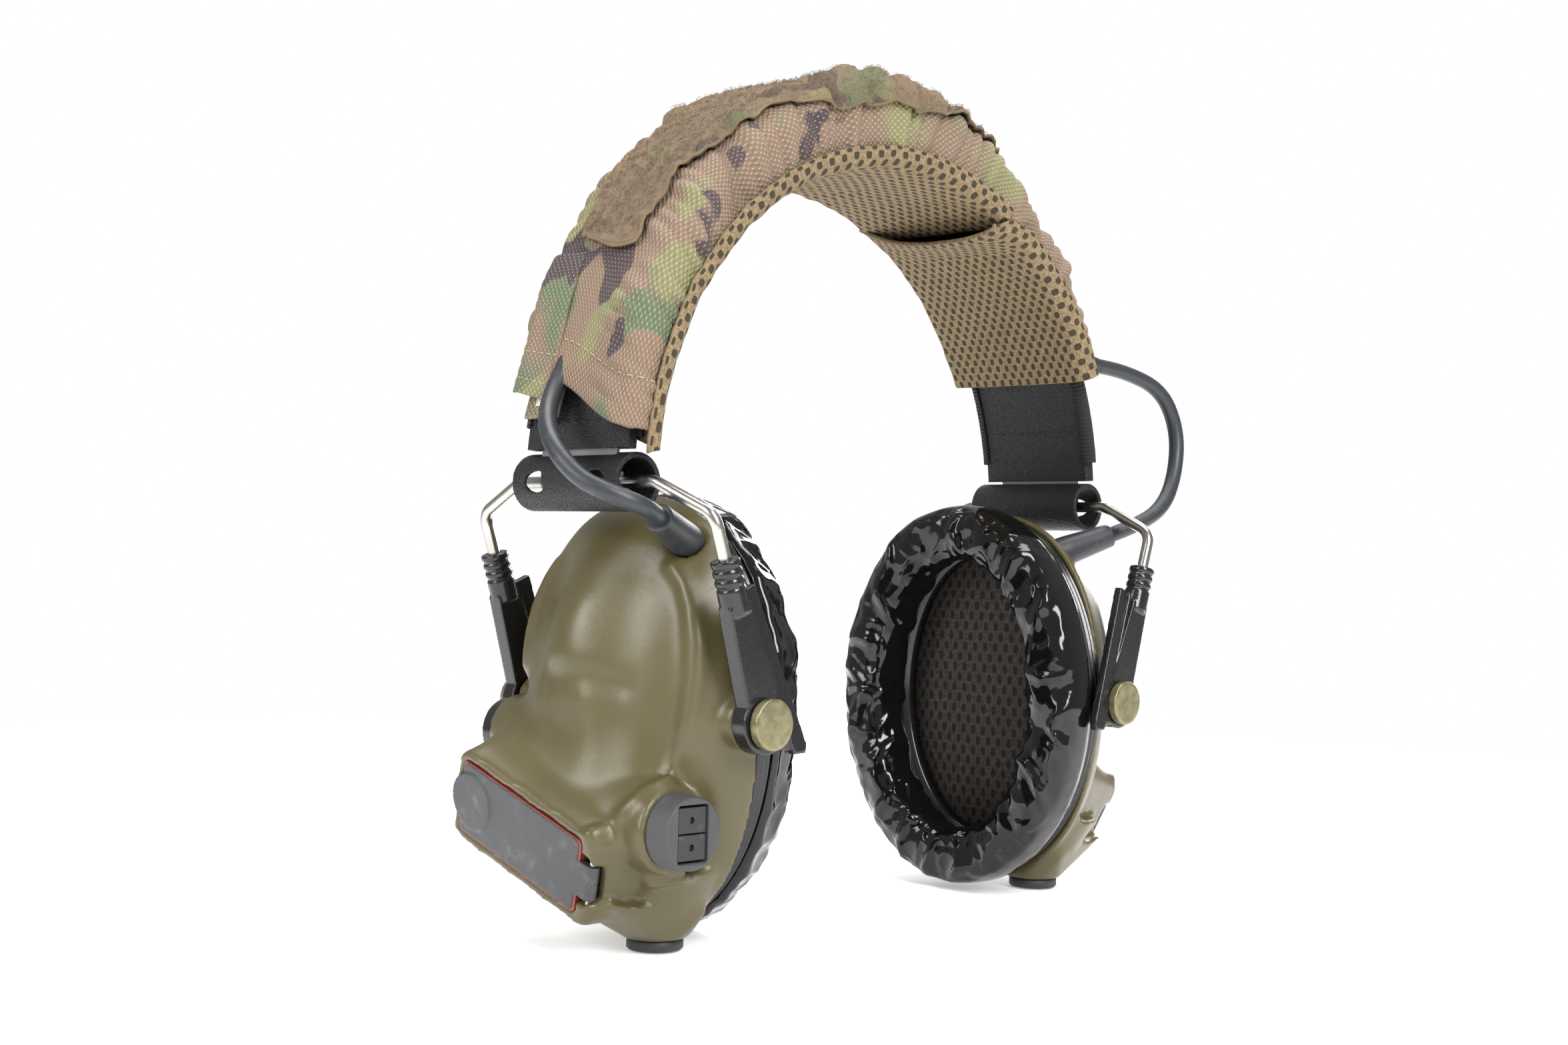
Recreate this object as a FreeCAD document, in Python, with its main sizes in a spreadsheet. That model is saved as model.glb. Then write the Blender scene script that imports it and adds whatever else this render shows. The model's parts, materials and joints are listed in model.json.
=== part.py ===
"""Folding electronic ear-defender headset: sprung headband in a fabric cover, two wire yokes, two cups.

Millimetres, +Z up, origin on the floor under the middle of the headset. X runs from ear to ear, with the
wearer's left cup at -X. +Y is the front, where the talk-through microphones are, and -Y is the back.
"""
import FreeCAD, Part
import math
import os
import Sketcher
from FreeCAD import Placement, Rotation, Vector

DIMENSIONS = [
    # hinge line of the headband and the wire yokes
    ("hinge_height", 111.0), ("hinge_half_span", 88.0), ("leg_lean", 18.6), ("wire_radius", 1.5),
    ("wire_middle_half", 25.3), ("wire_bend", 5.0), ("leg_offset", 43.0), ("shoulder_drop", 8.0),
    ("wire_end_drop", 50.0), ("running_gap", 0.05),
    # sprung arch, its black sleeve and its edge bindings
    ("spring_radius", 90.0), ("spring_thick", 0.8), ("spring_half", 14.0), ("sleeve_in", 88.2),
    ("sleeve_out", 91.8), ("sleeve_half", 19.0), ("sleeve_end", 5.0), ("slot_in", 89.5),
    ("slot_out", 90.5), ("slot_half", 14.2), ("binding_in", 87.9), ("binding_out", 92.1),
    ("binding_wide", 1.6), ("binding_end", 8.5), ("tunnel_out", 7.0), ("tunnel_in", 5.6),
    ("tunnel_half", 19.5),
    # fabric cover
    ("lining_in", 85.6), ("lining_out", 87.8), ("lining_half", 23.0), ("cover_half", 24.5),
    ("cover_wall", 1.2), ("cover_right_end", 28.0), ("cover_left_end", 165.0), ("cover_end_out", 99.6),
    ("cover_crown_out", 110.0), ("cover_corner", 8.0), ("pad_in", 97.3), ("pad_half", 19.0),
    ("patch_thick", 1.4), ("patch_half", 15.0), ("patch_start", 50.0), ("patch_stop", 146.0),
    # interconnect cable
    ("cable_radius", 2.25), ("cable_ride", 94.7),
    # cup outline, measured from the pivot axis
    ("pivot_drop", 58.3), ("cushion_half_wide", 43.0), ("cushion_half_high", 55.0),
    ("cushion_face", 47.2), ("cushion_back", 62.4), ("opening_half_wide", 27.0),
    ("opening_half_high", 40.0), ("plate_back", 66.0), ("plate_half_wide", 40.3),
    ("plate_half_high", 53.3), ("wall", 2.2),
    # arms and pivot buttons
    ("arm_inner_face", 40.8), ("arm_thick", 4.4), ("collar_radius", 3.5), ("collar_low", 27.0),
    ("collar_drop", 18.6), ("ring_radius", 7.2), ("pivot_stud", 3.0), ("pivot_stud_low", 36.5),
    ("pivot_shoulder", 40.4), ("pivot_radius", 4.0), ("pivot_head_low", 45.5), ("pivot_head_top", 47.9),
    ("pivot_head", 6.0),
    # battery box
    ("box_x", 101.0), ("box_y", 4.5), ("box_z", 26.6), ("box_face_tilt", 12.0), ("box_slope", 21.0),
    ("box_long", 51.0), ("box_high", 24.0), ("door_long", 46.0), ("door_high", 18.6),
    ("door_thick", 1.8), ("rebate_gap", 0.4), ("battery_radius", 5.25), ("battery_long", 43.3),
    ("battery_nub", 1.9), ("nub_long", 1.2), ("bay_long", 47.4), ("bay_high", 12.4), ("bay_deep", 14.0),
    ("gasket_thick", 0.7), ("gasket_wide", 1.4), ("pin_radius", 0.8), ("pin_x", -1.7), ("pin_y", -23.6), ("knuckle_radius", 1.6),
    ("tab_half", 4.5), ("lug_y", -20.5), ("contact_thick", 0.5),
    # loudspeaker and electronics
    ("speaker_radius", 20.0), ("speaker_flange", 1.5), ("magnet_radius", 12.0), ("magnet_deep", 6.5),
    ("speaker_x", 73.0), ("baffle_x", 71.0), ("baffle_thick", 1.8), ("liner_x", 66.8),
    ("liner_thick", 4.0), ("liner_half_wide", 31.0), ("liner_half_high", 43.0), ("speaker_mouth", 18.0),
    ("board_x", 82.5), ("board_thick", 1.6), ("board_half_wide", 16.0), ("board_half_high", 20.0),
    # microphone, keypad, boot and plug
    ("mic_x", 83.0), ("mic_z", 49.0), ("mic_seat", 31.0), ("mic_frame_radius", 8.0),
    ("mic_frame_deep", 3.2), ("foam_floor", 0.9), ("foam_radius", 6.8), ("foam_deep", 5.4), ("capsule_radius", 3.0),
    ("capsule_deep", 3.6), ("keypad_x", 85.0), ("keypad_z", 31.0), ("keypad_seat", 31.6),
    ("keypad_radius", 9.0), ("keypad_face", 8.4), ("keypad_deep", 6.6), ("recess_deep", 5.2),
    ("recess_half_wide", 4.6), ("recess_half_high", 6.6), ("button_half_wide", 4.2),
    ("button_deep", 2.6), ("button_tall", 5.9), ("button_gap", 0.35), ("button_travel", 0.8),
    ("boot_x", 75.2), ("boot_y", -21.4), ("boot_z", 98.0), ("boot_tip_x", 88.1), ("boot_tip_y", -26.9),
    ("boot_tip_z", 102.7), ("boot_base", 4.3), ("boot_tip", 3.4), ("boot_root", 4.0),
    ("plug_x", 73.5), ("plug_y", -13.0), ("plug_flange", 6.85), ("plug_flange_high", 2.6),
    ("plug_stud", 4.5), ("plug_high", 9.0), ("plug_boss", 7.6),
]

doc = FreeCAD.newDocument("headset")
sheet = doc.addObject("Spreadsheet::Sheet", "dims")
for row, (alias, value) in enumerate(DIMENSIONS, start=1):
    sheet.set(f"A{row}", alias)
    sheet.set(f"B{row}", str(value))
    sheet.setAlias(f"B{row}", alias)
doc.recompute()

X_AXIS, Y_AXIS, Z_AXIS = Vector(1, 0, 0), Vector(0, 1, 0), Vector(0, 0, 1)
nodes = {}


def dim(*names):
    """Sum of the named cells; a leading minus subtracts a cell."""
    return sum(-sheet.get(n[1:]) if n.startswith("-") else sheet.get(n) for n in names)


def formula(*names):
    """The same sum as an expression on the sheet."""
    return " ".join(f"- dims.{n[1:]}" if n.startswith("-") else f"+ dims.{n}" for n in names)


def keep(label, thing):
    """Record an object, or a plain shape, as the node of that name."""
    if isinstance(thing, Part.Shape):
        shape = thing
        thing = doc.addObject("Part::Feature", label)
        thing.Shape = shape
    thing.Label = label
    nodes[label] = thing
    return thing


def mirror_to_left(name):
    """The left piece is the right one mirrored in the middle plane."""
    copy = doc.addObject("Part::Mirroring", f"left_{name}")
    copy.Source = nodes[f"right_{name}"]
    copy.Normal = X_AXIS
    keep(f"left_{name}", copy)


def origin_plane(body, role):
    return next(item for item in body.Origin.OriginFeatures if item.Role == role)


def polygon_sketch(body, name, plane, corners):
    """Closed polygon whose corners are sums of cells, each held by two driven distances."""
    sketch = body.newObject("Sketcher::SketchObject", name)
    sketch.AttachmentSupport = [(origin_plane(body, plane), "")]
    sketch.MapMode = "FlatFace"
    points = [Vector(dim(*across), dim(*up), 0) for across, up in corners]
    for start, end in zip(points, points[1:] + points[:1]):
        sketch.addGeometry(Part.LineSegment(start, end))
    for i in range(len(points)):
        sketch.addConstraint(Sketcher.Constraint("Coincident", i, 2, (i + 1) % len(points), 1))
    for i, (across, up) in enumerate(corners):
        for kind, names, value in (("DistanceX", across, points[i].x), ("DistanceY", up, points[i].y)):
            label = f"{kind}{i}"
            if not names:
                line = -2 if kind == "DistanceX" else -1
                sketch.addConstraint(Sketcher.Constraint("PointOnObject", i, 1, line))
                continue
            index = sketch.addConstraint(Sketcher.Constraint(kind, -1, 1, i, 1, value))
            sketch.renameConstraint(index, label)
            sketch.setExpression(f"Constraints.{label}", formula(*names))
    return sketch


def turned(label, corners, axis="V_Axis"):
    """Body turned about its own Y axis from a half outline of (radius, height) corners."""
    body = doc.addObject("PartDesign::Body", label)
    sketch = polygon_sketch(body, f"{label}_outline", "XY_Plane", corners)
    turn = body.newObject("PartDesign::Revolution", f"{label}_turn")
    turn.Profile = sketch
    turn.ReferenceAxis = (sketch, [axis])
    turn.Angle = 360.0
    return body


def arch_strip(label, inner, outer, half, start, end, hollow=None):
    """Strip bent round the arch: a rectangle turned about the ear-to-ear centre, with an optional slot."""
    body = doc.addObject("PartDesign::Body", label)
    low = [(inner,), (outer,), (outer,), (inner,)]
    high = [(f"-{half}",), (f"-{half}",), (half,), (half,)]
    sketch = polygon_sketch(body, f"{label}_outline", "XY_Plane", list(zip(low, high)))
    bend = body.newObject("PartDesign::Revolution", f"{label}_bend")
    bend.Profile = sketch
    bend.ReferenceAxis = (sketch, ["V_Axis"])
    bend.Angle = end - start
    if hollow:
        slot_low = [("slot_in",), ("slot_out",), ("slot_out",), ("slot_in",)]
        slot_high = [("-slot_half",), ("-slot_half",), ("slot_half",), ("slot_half",)]
        slot = polygon_sketch(body, f"{label}_slot", "XY_Plane", list(zip(slot_low, slot_high)))
        groove = body.newObject("PartDesign::Groove", f"{label}_groove")
        groove.Profile = slot
        groove.ReferenceAxis = (slot, ["V_Axis"])
        groove.Angle = end - start
    body.Placement = Placement(Vector(0, 0, dim("hinge_height")), Rotation(Y_AXIS, -end))
    return body


def oval(x, half_wide, half_high, centre_z, power=2.0, steps=28):
    """Closed rounded outline across X; a power over 2 gives it squarer shoulders."""
    points = []
    for i in range(steps):
        angle = 2 * math.pi * i / steps
        across = math.copysign(abs(math.cos(angle)) ** (2 / power), math.cos(angle))
        up = math.copysign(abs(math.sin(angle)) ** (2 / power), math.sin(angle))
        points.append(Vector(x, half_wide * across, centre_z + half_high * up))
    curve = Part.BSplineCurve()
    curve.interpolate(Points=points, PeriodicFlag=True)
    return Part.Wire([curve.toShape()])


def slab(wire, x_from, x_to):
    """Solid from a flat outline, drawn out along X."""
    face = Part.Face(wire)
    face.translate(Vector(x_from - face.BoundBox.XMin, 0, 0))
    return face.extrude(Vector(x_to - x_from, 0, 0))


def ellipse(half_wide, half_high, centre_z):
    """Elliptical outline across X, taller than it is wide."""
    outline = Part.Ellipse(Vector(0, 0, 0), half_high, half_wide).toShape()
    outline.rotate(Vector(0, 0, 0), Y_AXIS, -90)
    outline.translate(Vector(0, 0, centre_z))
    return Part.Wire([outline])


def rod(base, direction, length, radius, tip_radius=None):
    """Round rod or cone from a base point."""
    if tip_radius is None:
        return Part.makeCylinder(radius, length, base, direction)
    return Part.makeCone(radius, tip_radius, length, base, direction)


def rounded_path(points, share=0.45, bend=None):
    """Straight runs joined by tangent arcs. Returns the wire and the radii of its arcs."""
    edges, radii = [], []
    start = points[0]
    for before, corner, after in zip(points, points[1:], points[2:]):
        back, ahead = before - corner, after - corner
        turn = math.pi - back.getAngle(ahead)
        radius = bend or share * min(back.Length, ahead.Length) / math.tan(turn / 2)
        reach = radius * math.tan(turn / 2)
        back.normalize()
        ahead.normalize()
        into, out = corner + back * reach, corner + ahead * reach
        middle_way = back + ahead
        middle_way.normalize()
        middle = corner + middle_way * (radius / math.cos(turn / 2) - radius)
        edges.append(Part.LineSegment(start, into).toShape())
        edges.append(Part.Arc(into, middle, out).toShape())
        radii.append(round(radius, 1))
        start = out
    edges.append(Part.LineSegment(start, points[-1]).toShape())
    return Part.Wire(edges), radii


def tube(label, points, radius, bend=None):
    """Round tube along the rounded path, checked against its section times its length."""
    path, radii = rounded_path(points, bend=bend)
    section = Part.Wire([Part.Circle(points[0], points[1] - points[0], radius).toShape()])
    solid = path.makePipeShell([section], True, False)
    expected = math.pi * radius ** 2 * path.Length
    print(f"{label}: length {path.Length:.1f}, radii {radii}, volume ratio {solid.Volume / expected:.4f}")
    return solid


# ---------------------------------------------------------------- frame of a leg and of the battery box
lean = math.radians(dim("leg_lean"))
leg_down = Vector(-math.sin(lean), 0, -math.cos(lean))
hinge = Vector(dim("hinge_half_span"), 0, dim("hinge_height"))
pivot = hinge + leg_down * dim("pivot_drop")
leg_frame = Placement(pivot, Rotation(Y_AXIS, dim("leg_lean")))

box_turn = Rotation(Y_AXIS, dim("box_face_tilt")) * Rotation(X_AXIS, dim("box_slope"))
box_frame = Placement(Vector(dim("box_x"), dim("box_y"), dim("box_z")), box_turn)


def boxed(along_x, along_y, along_z, low_x=0.0):
    """Block centred in the battery-box frame, from low_x outward: X out, Y along the door, Z up it."""
    block = Part.makeBox(along_x, along_y, along_z, Vector(low_x, -along_y / 2, -along_z / 2))
    block.Placement = box_frame.multiply(block.Placement)
    return block


def box_point(x, y, z):
    return box_frame.multVec(Vector(x, y, z))


def rounded_rectangle(x, half_long, half_high, corner):
    """Rounded rectangle across X, as arcs and straight edges in a fixed order."""
    edges = []
    centres = [(1, 1, 0), (-1, 1, 90), (-1, -1, 180), (1, -1, 270)]
    ends = []
    for side, top, first in centres:
        centre = Vector(x, side * (half_long - corner), top * (half_high - corner))
        points = [centre + Vector(0, corner * math.cos(math.radians(first + turn)),
                                  corner * math.sin(math.radians(first + turn))) for turn in (0, 45, 90)]
        ends.append(points)
    for this, following in zip(ends, ends[1:] + ends[:1]):
        edges.append(Part.Arc(*this).toShape())
        edges.append(Part.LineSegment(this[2], following[0]).toShape())
    return Part.Wire(edges)


# ---------------------------------------------------------------- headband
def make_spring():
    """Spring steel arch whose two ends are curled into eyes round the wire yokes."""
    half, thick = dim("spring_half"), dim("spring_thick")
    centre = Vector(0, -half, dim("hinge_height"))
    arch = rod(centre, Y_AXIS, 2 * half, dim("spring_radius") + thick / 2)
    arch = arch.cut(rod(centre, Y_AXIS, 2 * half, dim("spring_radius") - thick / 2))
    span = 2 * dim("spring_radius") + 10
    upper = Part.makeBox(span, 2 * half, span, Vector(-span / 2, -half, dim("hinge_height")))
    arch = arch.common(upper)
    bore = dim("wire_radius", "running_gap")
    for side in (1, -1):
        eye_centre = Vector(side * dim("hinge_half_span"), -half, dim("hinge_height"))
        eye_out = dim("spring_radius") + thick / 2 - dim("hinge_half_span")
        eye = rod(eye_centre, Y_AXIS, 2 * half, eye_out).cut(rod(eye_centre, Y_AXIS, 2 * half, bore))
        mouth = Part.makeBox(eye_out, 2 * half, eye_out, Vector(0, 0, 0))
        mouth.translate(eye_centre + Vector(-eye_out if side > 0 else 0, 0, bore / 2))
        arch = arch.fuse(eye.cut(mouth))
    return arch.removeSplitter()


def make_tunnel():
    """Leather loop round the hinge, slotted for the spring and pierced by two oval eyes."""
    half = dim("tunnel_half")
    base = hinge - Y_AXIS * half
    loop = rod(base, Y_AXIS, 2 * half, dim("tunnel_out")).cut(rod(base, Y_AXIS, 2 * half, dim("tunnel_in")))
    slot = Part.makeBox(1.4, 2 * dim("slot_half"), 10, Vector(-0.7, -dim("slot_half"), 0))
    slot.translate(Vector(dim("spring_radius"), 0, dim("hinge_height")))
    loop = loop.cut(slot)
    for offset in (-11.0, 11.0):
        eye = rod(Vector(hinge.x, offset, hinge.z), X_AXIS, 12, 2.6)
        stretched = FreeCAD.Matrix()
        stretched.scale(1, 1.6, 1)
        eye.translate(Vector(0, -offset, 0))
        eye = eye.transformGeometry(stretched)
        eye.translate(Vector(0, offset, 0))
        loop = loop.cut(eye)
    return loop


def cover_reach(angle):
    """Outer radius of the canvas at an angle round the arch, greatest at the crown."""
    middle = (dim("cover_right_end") + dim("cover_left_end")) / 2
    off = (angle - middle) / (dim("cover_left_end") - middle)
    rise = dim("cover_crown_out") - dim("cover_end_out")
    return dim("cover_end_out") + rise * (math.cos(math.pi * off) + 1) / 2


def round_the_arch(angle, radius, y):
    turn = math.radians(angle)
    return Vector(radius * math.cos(turn), y, dim("hinge_height") + radius * math.sin(turn))


def arch_section(angle, outline):
    """Wire across the arch from (radius, y) corners; a corner with three points is an arc."""
    pieces = [[round_the_arch(angle, *point) for point in run] for run in outline]
    edges = []
    for run, following in zip(pieces, pieces[1:] + pieces[:1]):
        if len(run) == 3:
            edges.append(Part.Arc(*run).toShape())
        edges.append(Part.LineSegment(run[-1], following[0]).toShape())
    return Part.Wire(edges)


def dome_corners(top, half, corner):
    """Two rounded upper corners of a cover section, from -Y to +Y."""
    near = corner * (1 - math.sqrt(0.5))
    rear = [(top - corner, -half), (top - near, -half + near), (top, -half + corner)]
    front = [(top, half - corner), (top - near, half - near), (top - corner, half)]
    return rear, front


def make_canvas():
    """Canvas upper of the cover: a U-shaped wall over the band, open towards the head."""
    half, wall, corner = dim("cover_half"), dim("cover_wall"), dim("cover_corner")
    base = dim("lining_out") + 0.1
    sections = []
    count = 13
    for i in range(count):
        angle = dim("cover_right_end") + i * (dim("cover_left_end", "-cover_right_end")) / (count - 1)
        top = cover_reach(angle)
        rear, front = dome_corners(top, half, corner)
        inner_rear, inner_front = dome_corners(top - wall, half - wall, corner - wall)
        outline = [[(base, -half)], rear, front, [(base, half)], [(base, half - wall)],
                   inner_front[::-1], inner_rear[::-1], [(base, -half + wall)]]
        sections.append(arch_section(angle, outline))
    return Part.makeLoft(sections, True, False)


def make_band_loft(start, end, low, high, half, count=9):
    """Strip lofted round the arch between two radii that may change with the angle."""
    sections = []
    for i in range(count):
        angle = start + i * (end - start) / (count - 1)
        corners = [[(low(angle), -half)], [(high(angle), -half)], [(high(angle), half)],
                   [(low(angle), half)]]
        sections.append(arch_section(angle, corners))
    return Part.makeLoft(sections, True, False)


def make_flap():
    """Free rear edge of the canvas that hangs past the left end of the cover."""
    strip = make_band_loft(dim("cover_left_end") + 0.3, dim("cover_left_end") + 5.5,
                           lambda a: 97.4, lambda a: 99.0, 6.5, 3)
    strip.translate(Y_AXIS * 17.0)
    return strip


keep("band_spring", make_spring())
keep("band_sleeve", arch_strip("band_sleeve", "sleeve_in", "sleeve_out", "sleeve_half",
                               dim("sleeve_end"), 180 - dim("sleeve_end"), hollow=True))
keep("cover_lining", arch_strip("cover_lining", "lining_in", "lining_out", "lining_half",
                                dim("cover_right_end") - 1, dim("cover_left_end") + 3))


def arch_slice(inner, outer, y_low, y_high, start, end):
    """Plain strip round the arch, as a turned rectangle."""
    corners = [Vector(inner, y_low, 0), Vector(outer, y_low, 0), Vector(outer, y_high, 0),
               Vector(inner, y_high, 0)]
    face = Part.Face(Part.makePolygon(corners + corners[:1]))
    solid = face.revolve(Vector(0, 0, 0), Y_AXIS, end - start)
    solid.Placement = Placement(Vector(0, 0, dim("hinge_height")), Rotation(Y_AXIS, -end))
    return solid


def make_bindings():
    """Two ribbed tapes sewn over the long edges of the sleeve."""
    low = dim("sleeve_half") + 0.05
    high = low + dim("binding_wide")
    ends = (dim("binding_end"), 180 - dim("binding_end"))
    front = arch_slice(dim("binding_in"), dim("binding_out"), low, high, *ends)
    rear = arch_slice(dim("binding_in"), dim("binding_out"), -high, -low, *ends)
    return Part.makeCompound([front, rear])


keep("edge_bindings", make_bindings())
keep("right_tunnel", make_tunnel())
mirror_to_left("tunnel")
keep("cover_canvas", make_canvas())
keep("crown_pad", make_band_loft(56, 126, lambda a: dim("pad_in"), lambda a: cover_reach(a) - 1.5,
                                 dim("pad_half") - 4))
keep("loop_patch", make_band_loft(dim("patch_start"), dim("patch_stop"),
                                  lambda a: cover_reach(a) + 0.1,
                                  lambda a: cover_reach(a) + 0.1 + dim("patch_thick"), dim("patch_half"), 13))
keep("cover_flap", make_flap())
keep("hook_tab", arch_slice(dim("binding_out") + 0.2, dim("binding_out") + 1.4, 8.5, 19.0,
                            dim("cover_left_end") - 8, dim("cover_left_end") + 2.5))


# ---------------------------------------------------------------- wire yoke and arms
def make_yoke():
    """Stainless wire bent to a staple: a middle that turns in the band's eye, and two sprung legs."""
    y_leg, y_mid = dim("leg_offset"), dim("wire_middle_half")
    foot, shoulder = leg_down * dim("wire_end_drop"), leg_down * dim("shoulder_drop")
    points = [hinge + foot + Y_AXIS * y_leg, hinge + shoulder + Y_AXIS * y_leg, hinge + Y_AXIS * y_mid,
              hinge - Y_AXIS * y_mid, hinge + shoulder - Y_AXIS * y_leg, hinge + foot - Y_AXIS * y_leg]
    return tube("yoke wire", points, dim("wire_radius"), bend=dim("wire_bend"))


def make_arm():
    """Front arm in the leg frame: ringed collar, tapering blade, pivot ring and a tail past it."""
    top = dim("pivot_drop", "-collar_drop")
    inner, thick, y_leg = dim("arm_inner_face"), dim("arm_thick"), dim("leg_offset")
    radius, low = dim("collar_radius"), dim("collar_low")
    arm = rod(Vector(0, y_leg, low), Z_AXIS, top - low, radius)
    for ring in range(3):
        groove = rod(Vector(0, y_leg, top - 2.4 - 2.2 * ring), Z_AXIS, 0.9, radius + 1)
        arm = arm.cut(groove.cut(rod(Vector(0, y_leg, low), Z_AXIS, top, radius - 0.45)))
    blade = [Vector(3.4, 0, low + 2), Vector(-3.4, 0, low + 2), Vector(-5.6, 0, 4.0), Vector(-5.0, 0, -2.0),
             Vector(4.0, 0, -2.0), Vector(4.6, 0, 6.0)]
    face = Part.Face(Part.makePolygon(blade + blade[:1]))
    face.translate(Vector(0, inner, 0))
    arm = arm.fuse(face.extrude(Vector(0, thick, 0)))
    arm = arm.fuse(rod(Vector(0, inner, 0), Y_AXIS, thick, dim("ring_radius")))
    tail = [Vector(-4.6, 0, 3.0), Vector(-7.4, 0, -7.6), Vector(-4.6, 0, -8.4), Vector(0.5, 0, -5.5),
            Vector(0.0, 0, 3.0)]
    face = Part.Face(Part.makePolygon(tail + tail[:1]))
    face.translate(Vector(0, inner + thick - 1.6, 0))
    arm = arm.fuse(face.extrude(Vector(0, 1.6, 0)))
    wire_top = dim("pivot_drop", "-wire_end_drop") - 1
    arm = arm.cut(rod(Vector(0, y_leg, wire_top), Z_AXIS, top, dim("wire_radius", "running_gap")))
    arm = arm.cut(rod(Vector(0, 0, 0), Y_AXIS, 60, dim("pivot_radius", "running_gap")))
    arm = arm.removeSplitter()
    arm.Placement = leg_frame
    return arm


def flipped_front_to_back(shape):
    return shape.mirror(Vector(0, 0, 0), Y_AXIS)


keep("right_yoke_wire", make_yoke())
keep("right_arm_front", make_arm())
keep("right_arm_rear", flipped_front_to_back(make_arm()))


# ---------------------------------------------------------------- pivot buttons
button = turned("pivot_button", [
    ((), ()), (("pivot_stud",), ()), (("pivot_stud",), ("pivot_shoulder", "-pivot_stud_low")),
    (("pivot_radius",), ("pivot_shoulder", "-pivot_stud_low")),
    (("pivot_radius",), ("pivot_head_low", "-pivot_stud_low")),
    (("pivot_head",), ("pivot_head_low", "-pivot_stud_low")),
    (("pivot_head",), ("pivot_head_top", "-pivot_stud_low")),
    ((), ("pivot_head_top", "-pivot_stud_low"))])
button.Placement = Placement(pivot + Y_AXIS * dim("pivot_stud_low"), Rotation())
opposite = doc.addObject("Part::Mirroring", "pivot_button_rear")
opposite.Source = button
opposite.Normal = Y_AXIS
pair = doc.addObject("Part::Compound", "right_pivot_buttons")
pair.Links = [button, opposite]
keep("right_pivot_buttons", pair)

# ---------------------------------------------------------------- shell
# stations of the dome: distance from the middle plane, half width, top and bottom above the floor
DOME = [(66.0, 40.0, 108.7, 2.7), (70.0, 38.7, 107.6, 4.0), (75.0, 35.6, 104.8, 7.0),
        (80.0, 29.6, 100.0, 10.5), (86.0, 22.5, 91.5, 15.0), (91.0, 15.5, 82.0, 22.0),
        (94.0, 9.0, 70.0, 32.0)]
OVAL_POWER = 2.25


def make_dome(inset, first, last):
    """Domed upper part of the shell; inset gives the hollow inside it."""
    wires = []
    for x, half_wide, top, bottom in DOME:
        middle, half_high = (top + bottom) / 2, (top - bottom) / 2
        wires.append(oval(x, half_wide - inset, half_high - inset, middle, OVAL_POWER))
    dome = Part.makeLoft(wires, True, False)
    block = Part.makeBox(last - first, 200, 200, Vector(first, -100, -60))
    return dome.common(block)


def make_pedestal(inset, depth):
    """Flared foot that carries the battery box on the lower part of the shell."""
    root = rounded_rectangle(68.0, 31.0 - inset, 20.0 - inset, 14.0 - inset)
    root.rotate(Vector(68, 0, 0), X_AXIS, dim("box_slope"))
    root.translate(Vector(0, 0, 35.0))
    mouth = rounded_rectangle(0.0, dim("box_long") / 2 - inset, dim("box_high") / 2 - inset, 3.6 - inset / 2)
    mouth.Placement = box_frame.multiply(Placement(Vector(-depth, 0, 0), Rotation()))
    return Part.makeLoft([root, mouth], True, True)


def x_clip(shape, first):
    """Keep only what lies outboard of a plane across X."""
    return shape.common(Part.makeBox(60, 200, 240, Vector(first, -100, -60)))


def boot_frame():
    base = Vector(dim("boot_x"), dim("boot_y"), dim("boot_z"))
    tip = Vector(dim("boot_tip_x"), dim("boot_tip_y"), dim("boot_tip_z"))
    return base, tip, (tip - base).normalize(), (tip - base).Length


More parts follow.
